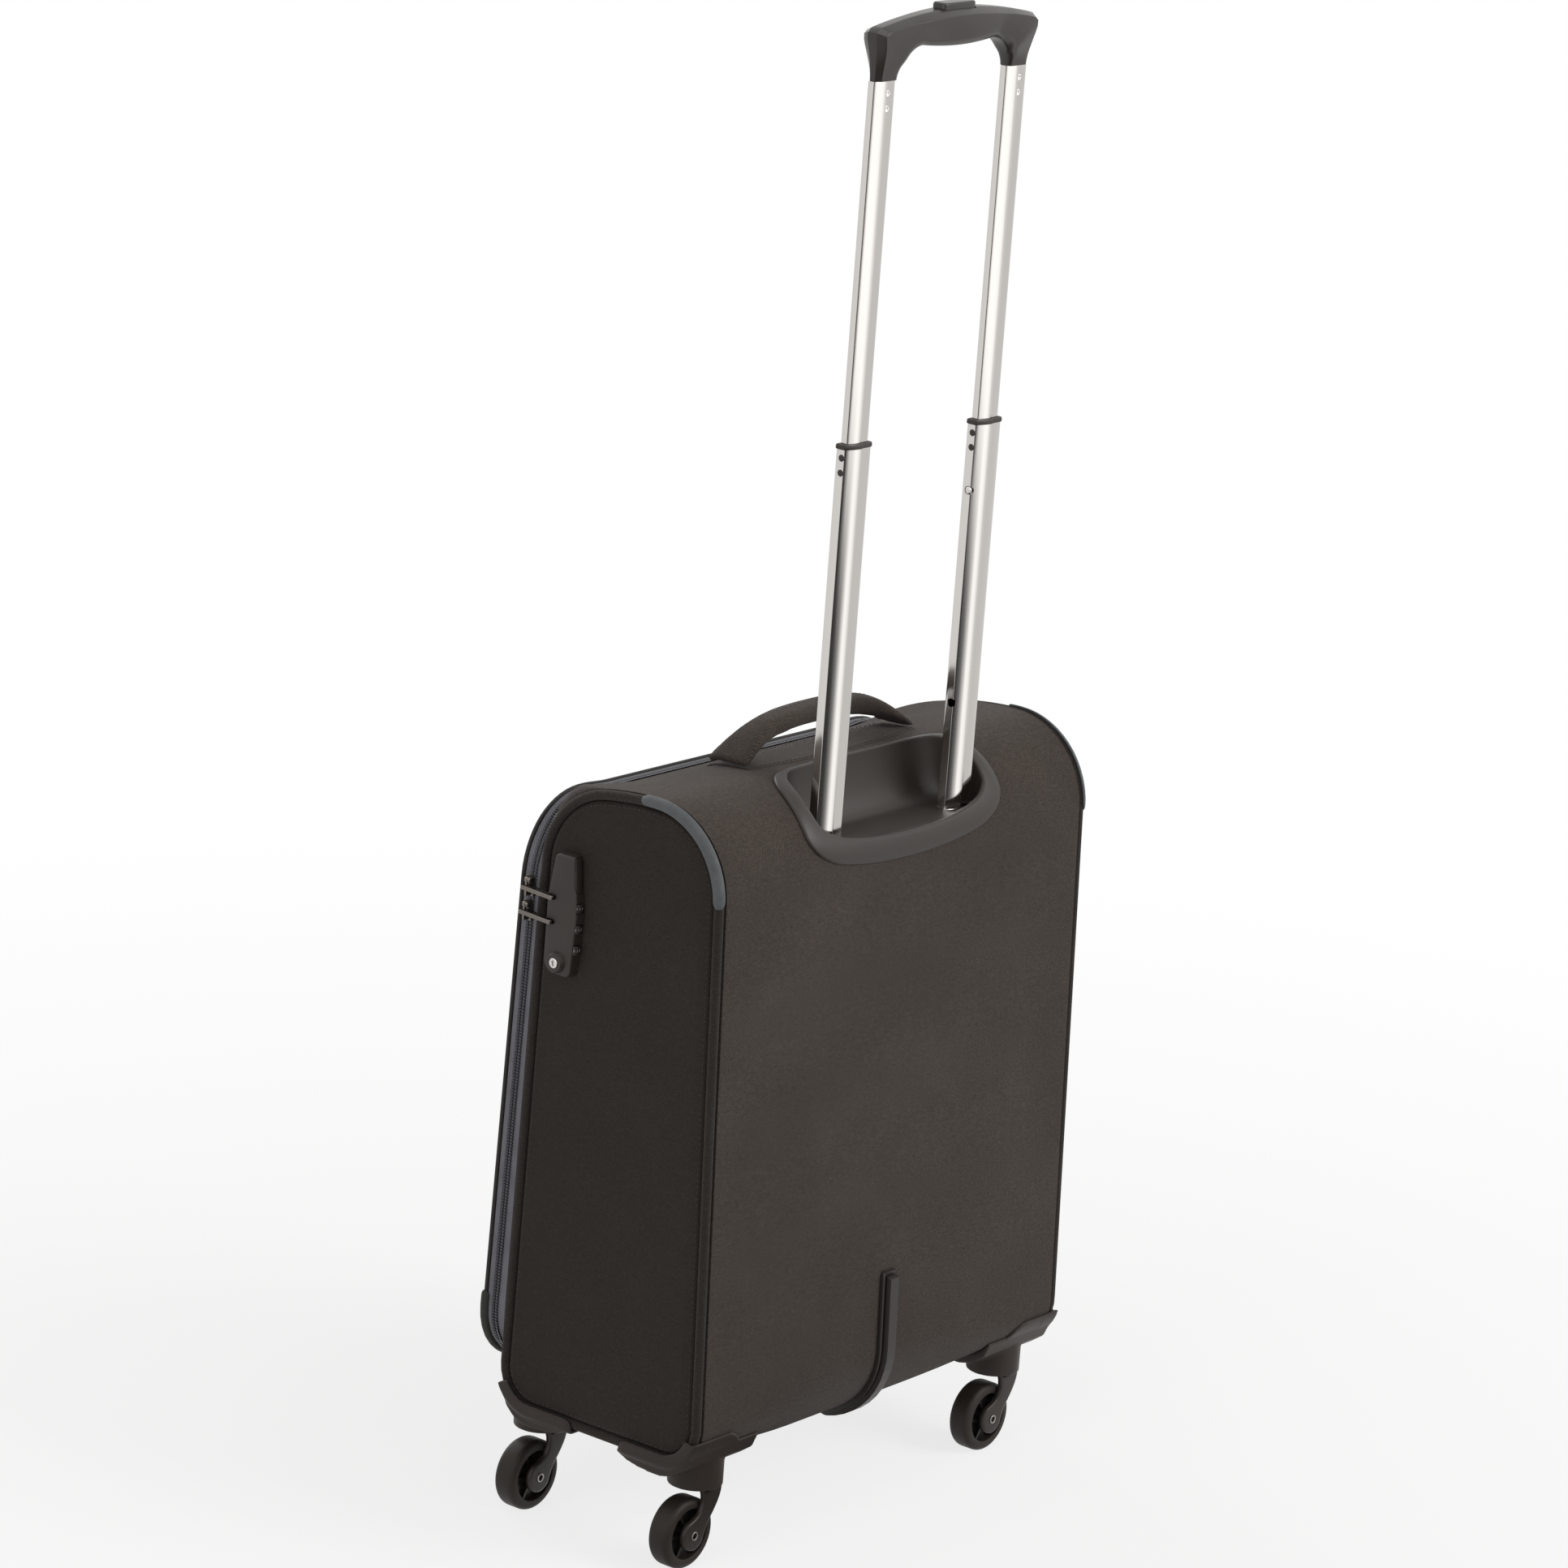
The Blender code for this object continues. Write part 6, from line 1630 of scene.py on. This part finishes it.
CORNERS = {"front_right": (0.1654, -0.061), "front_left": (-0.1654, -0.061),
           "rear_right": (0.1654, 0.077), "rear_left": (-0.1654, 0.077)}
FOOT_SIDE = 0.2003
FOOT_INNER = 0.1850
LIP_THICK = 0.0024
LIP_START = 0.2018
LIP_REACH = 0.0950


def side_lip(side, front):
    """Returns the foot's lip over the piping, along the case's side and round its corner."""
    top, end = (0.0950, -0.004) if front else (0.1000, 0.036)
    path = [p for p in even(side_outline(), 0.0016) if p.y < top and (p.x < end if front else p.x > end)]

    def section(share):
        toe = 1 - share if front else share
        draw = round_tip(toe, 0.10)
        inner = -0.0025 - 0.0050 * draw
        face = FOOT_SIDE + LIP_THICK * (0.5 + 0.5 * draw)
        shape = [(FOOT_INNER, 0.0004), (FOOT_SIDE, 0.0004), (FOOT_SIDE, inner),
                 (face - 0.0008, inner - 0.0002), (face, inner + 0.0008), (face, 0.0006),
                 (face - 0.0014, 0.0026), (FOOT_INNER, 0.0026)]
        return [(side * a, b) for a, b in shape]

    return side_sweep("lip", path, section, 0.0, False)


def back_lip(side):
    """Returns the foot's lip on the case's back; its upper edge curves softly down to the underside."""
    rings = []
    for k in range(41):
        x = LIP_START - LIP_REACH * k / 40
        outline = [p for p in even(side_outline(sag=belly(x)), 0.0004) if p.x > 0.060 and p.y < 0.1010]
        last = (len(outline) - 1) * (1 - 0.93 * eased(LIP_START - x, 0.036, 0.092))
        spread = [outline[round(last * i / 16)] for i in range(17)]
        outer = [p + out * LIP_THICK for p, _, out in frames(spread, False)]
        rings.append([(side * x, p.x, p.y) for p in outer] + [(side * x, p.x, p.y) for p in reversed(spread)])
    return skin("lip", rings)


for corner, (x, y) in CORNERS.items():
    side = math.copysign(1, x)
    foot = worked_copy("foot_" + corner, "foot_" + corner + "_moulding")
    for vertex in foot.data.vertices:
        vertex.co.y += slack(BOTTOM) * eased(-vertex.co.y, 0.045, 0.070)
    parts = [side_lip(side, y < 0), barrel("housing", (x, y, 0.0690), 0.0190, 0.0236, (0, 0, 1), 48)]
    if y > 0:
        parts.append(back_lip(side))
    join([foot, *parts])
    modify(foot, "REMESH", mode="VOXEL", voxel_size=0.0009)
    modify(foot, "SMOOTH", factor=0.5, iterations=6)
    smooth(foot, 70)
    fit(foot, FOOT_ABS, "case", "black_plastic", "foot_" + corner)

# Caster forks. A glass-filled nylon crown turns under each housing; its two arms sweep down and aside to the
# bosses that hold the axle.
HOUSING_BOTTOM = 0.057
TRAIL = 0.0122
AXLE_Z = 0.0249885
WHEEL_HALF = 0.0085
ARM_INNER = 0.0090
ARM_OUTER = 0.0128
FORK_NYLON = moulded("glass_filled_nylon", "29241F", "39322D", roughness=0.36, grit=0.7, shine=0.3)
arm_corners = [(-0.0135, 0.0562), (-0.0132, 0.0490), (-0.0088, 0.0405), (-0.0018, 0.0308), (0.0012, 0.0240),
               (0.0040, 0.0176), (0.0110, 0.0140), (0.0182, 0.0160), (0.0226, 0.0215), (0.0228, 0.0280),
               (0.0190, 0.0337), (0.0126, 0.0364), (0.0072, 0.0402), (0.0046, 0.0462), (0.0048, 0.0520),
               (0.0056, 0.0562), (-0.0040, 0.0564)]
arm_line = soft_loop(arm_corners, 4)
crown = barrel("crown", (0, 0, HOUSING_BOTTOM - 0.0003 - 0.0023), 0.0155, 0.0046, (0, 0, 1), 56)
modify(crown, "BEVEL", width=0.0009, segments=3, limit_method="ANGLE")
stem = barrel("stem", (0, 0, 0.0610), 0.0045, 0.0180, (0, 0, 1), 28)
ARM_STEPS = ((0.0005, ARM_INNER), (0.0, ARM_INNER + 0.0005), (0.0, ARM_OUTER - 0.0013),
             (0.0004, ARM_OUTER - 0.0005), (0.0013, ARM_OUTER - 0.0001), (0.0024, ARM_OUTER))
arms = []
for side in (-1, 1):
    rings = []
    for inset, out in ARM_STEPS:
        rings.append([(p.x, side * out, p.y) for p in moved_in(arm_line, inset)])
    arms.append(skin("arm", rings))
weld(crown, stem, *arms)
cut(crown, barrel("bore", (TRAIL, 0, AXLE_Z), 0.0028, 0.04, (0, 1, 0), 28))
smooth(crown, 40)
for corner, (x, y) in CORNERS.items():
    fork = copy_to(crown, "fork_" + corner + "_moulding", (x, y, 0))
    smooth(fork, 40)
    fit(fork, FORK_NYLON, "caster_" + corner, "black_plastic", "fork_" + corner)
discard(crown)

# Caster wheels. A polyurethane tyre with round shoulders is moulded over a polypropylene hub; six ribs stand
# on the hub's web between its middle and its rim.
WHEEL_RADIUS = 0.02498
RIM_RADIUS = 0.0178
HUB_RADIUS = 0.0075
TYRE = moulded("polyurethane_tyre", "26211D", "352F2A", roughness=0.50, grit=1.2, shine=0.22)
HUB = moulded("polypropylene_hub", "1A1715", "25211E", roughness=0.32, grit=0.8)
wheel = barrel("wheel", (0, 0, 0), WHEEL_RADIUS, 2 * WHEEL_HALF, (0, 1, 0), 72)
for side in (-1, 1):
    pick(wheel, "FACE", lambda place, out: out.y * side > 0.9)
    bpy.ops.mesh.inset(thickness=WHEEL_RADIUS - RIM_RADIUS)
    bpy.ops.mesh.extrude_region_move(TRANSFORM_OT_translate={"value": (0, -side * 0.0055, 0)})
    bpy.ops.mesh.inset(thickness=RIM_RADIUS - HUB_RADIUS)
    bpy.ops.mesh.extrude_region_move(TRANSFORM_OT_translate={"value": (0, side * 0.0052, 0)})
    done()
round_edges(wheel, lambda place, run: abs(run.y) < 0.1 and abs(place.y) > WHEEL_HALF - 0.0001
            and math.hypot(place.x, place.z) > WHEEL_RADIUS - 0.001, 0.0042, 6)
round_edges(wheel, lambda place, run: abs(run.y) < 0.1 and abs(place.y) > WHEEL_HALF - 0.0010
            and math.hypot(place.x, place.z) < RIM_RADIUS + 0.0005, 0.0007, 3)
spokes = []
for k in range(6):
    spoke = block("spoke", (HUB_RADIUS - 0.0010, -0.0062, -0.0009), (RIM_RADIUS + 0.0008, 0.0062, 0.0009))
    spoke.data.transform(Matrix.Rotation(math.pi / 3 * k, 4, "Y"))
    spokes.append(spoke)
weld(wheel, *spokes)
smooth(wheel, 34)
for corner, (x, y) in CORNERS.items():
    roller = copy_to(wheel, "wheel_" + corner + "_moulding", (x + TRAIL, y, AXLE_Z))
    smooth(roller, 34)
    fit(roller, TYRE, "wheel_" + corner, "tyre_rubber", "wheel_" + corner)
    roller.data.materials.append(HUB)
    for face in roller.data.polygons:
        away = math.hypot(face.center.x - x - TRAIL, face.center.z - AXLE_Z)
        face.material_index = 1 if away < RIM_RADIUS - 0.0002 else 0
discard(wheel)

# Axles. A hollow steel rivet passes through the fork's arms and the wheel's hub and is rolled over at both
# ends, which holds the caster together.
axle = barrel("axle", (0, 0, 0), 0.0025, 2 * ARM_OUTER + 0.0004, (0, 1, 0), 36)
heads = [barrel("head", (0, side * (ARM_OUTER + 0.0003), 0), 0.0032, 0.0008, (0, 1, 0), 36)
         for side in (-1, 1)]
weld(axle, *heads)
cut(axle, barrel("bore", (0, 0, 0), 0.0021, 0.05, (0, 1, 0), 36))
soften(axle, 0.0003, 3)
RIVET_STEEL = metal("tumbled_steel", "A7A39E", roughness=0.30, grain=2.0)
for corner, (x, y) in CORNERS.items():
    rivet = copy_to(axle, "axle_" + corner + "_rivet", (x + TRAIL, y, AXLE_Z))
    smooth(rivet, 40)
    fit(rivet, RIVET_STEEL, "caster_" + corner, "bright_steel", "axle_" + corner)
discard(axle)
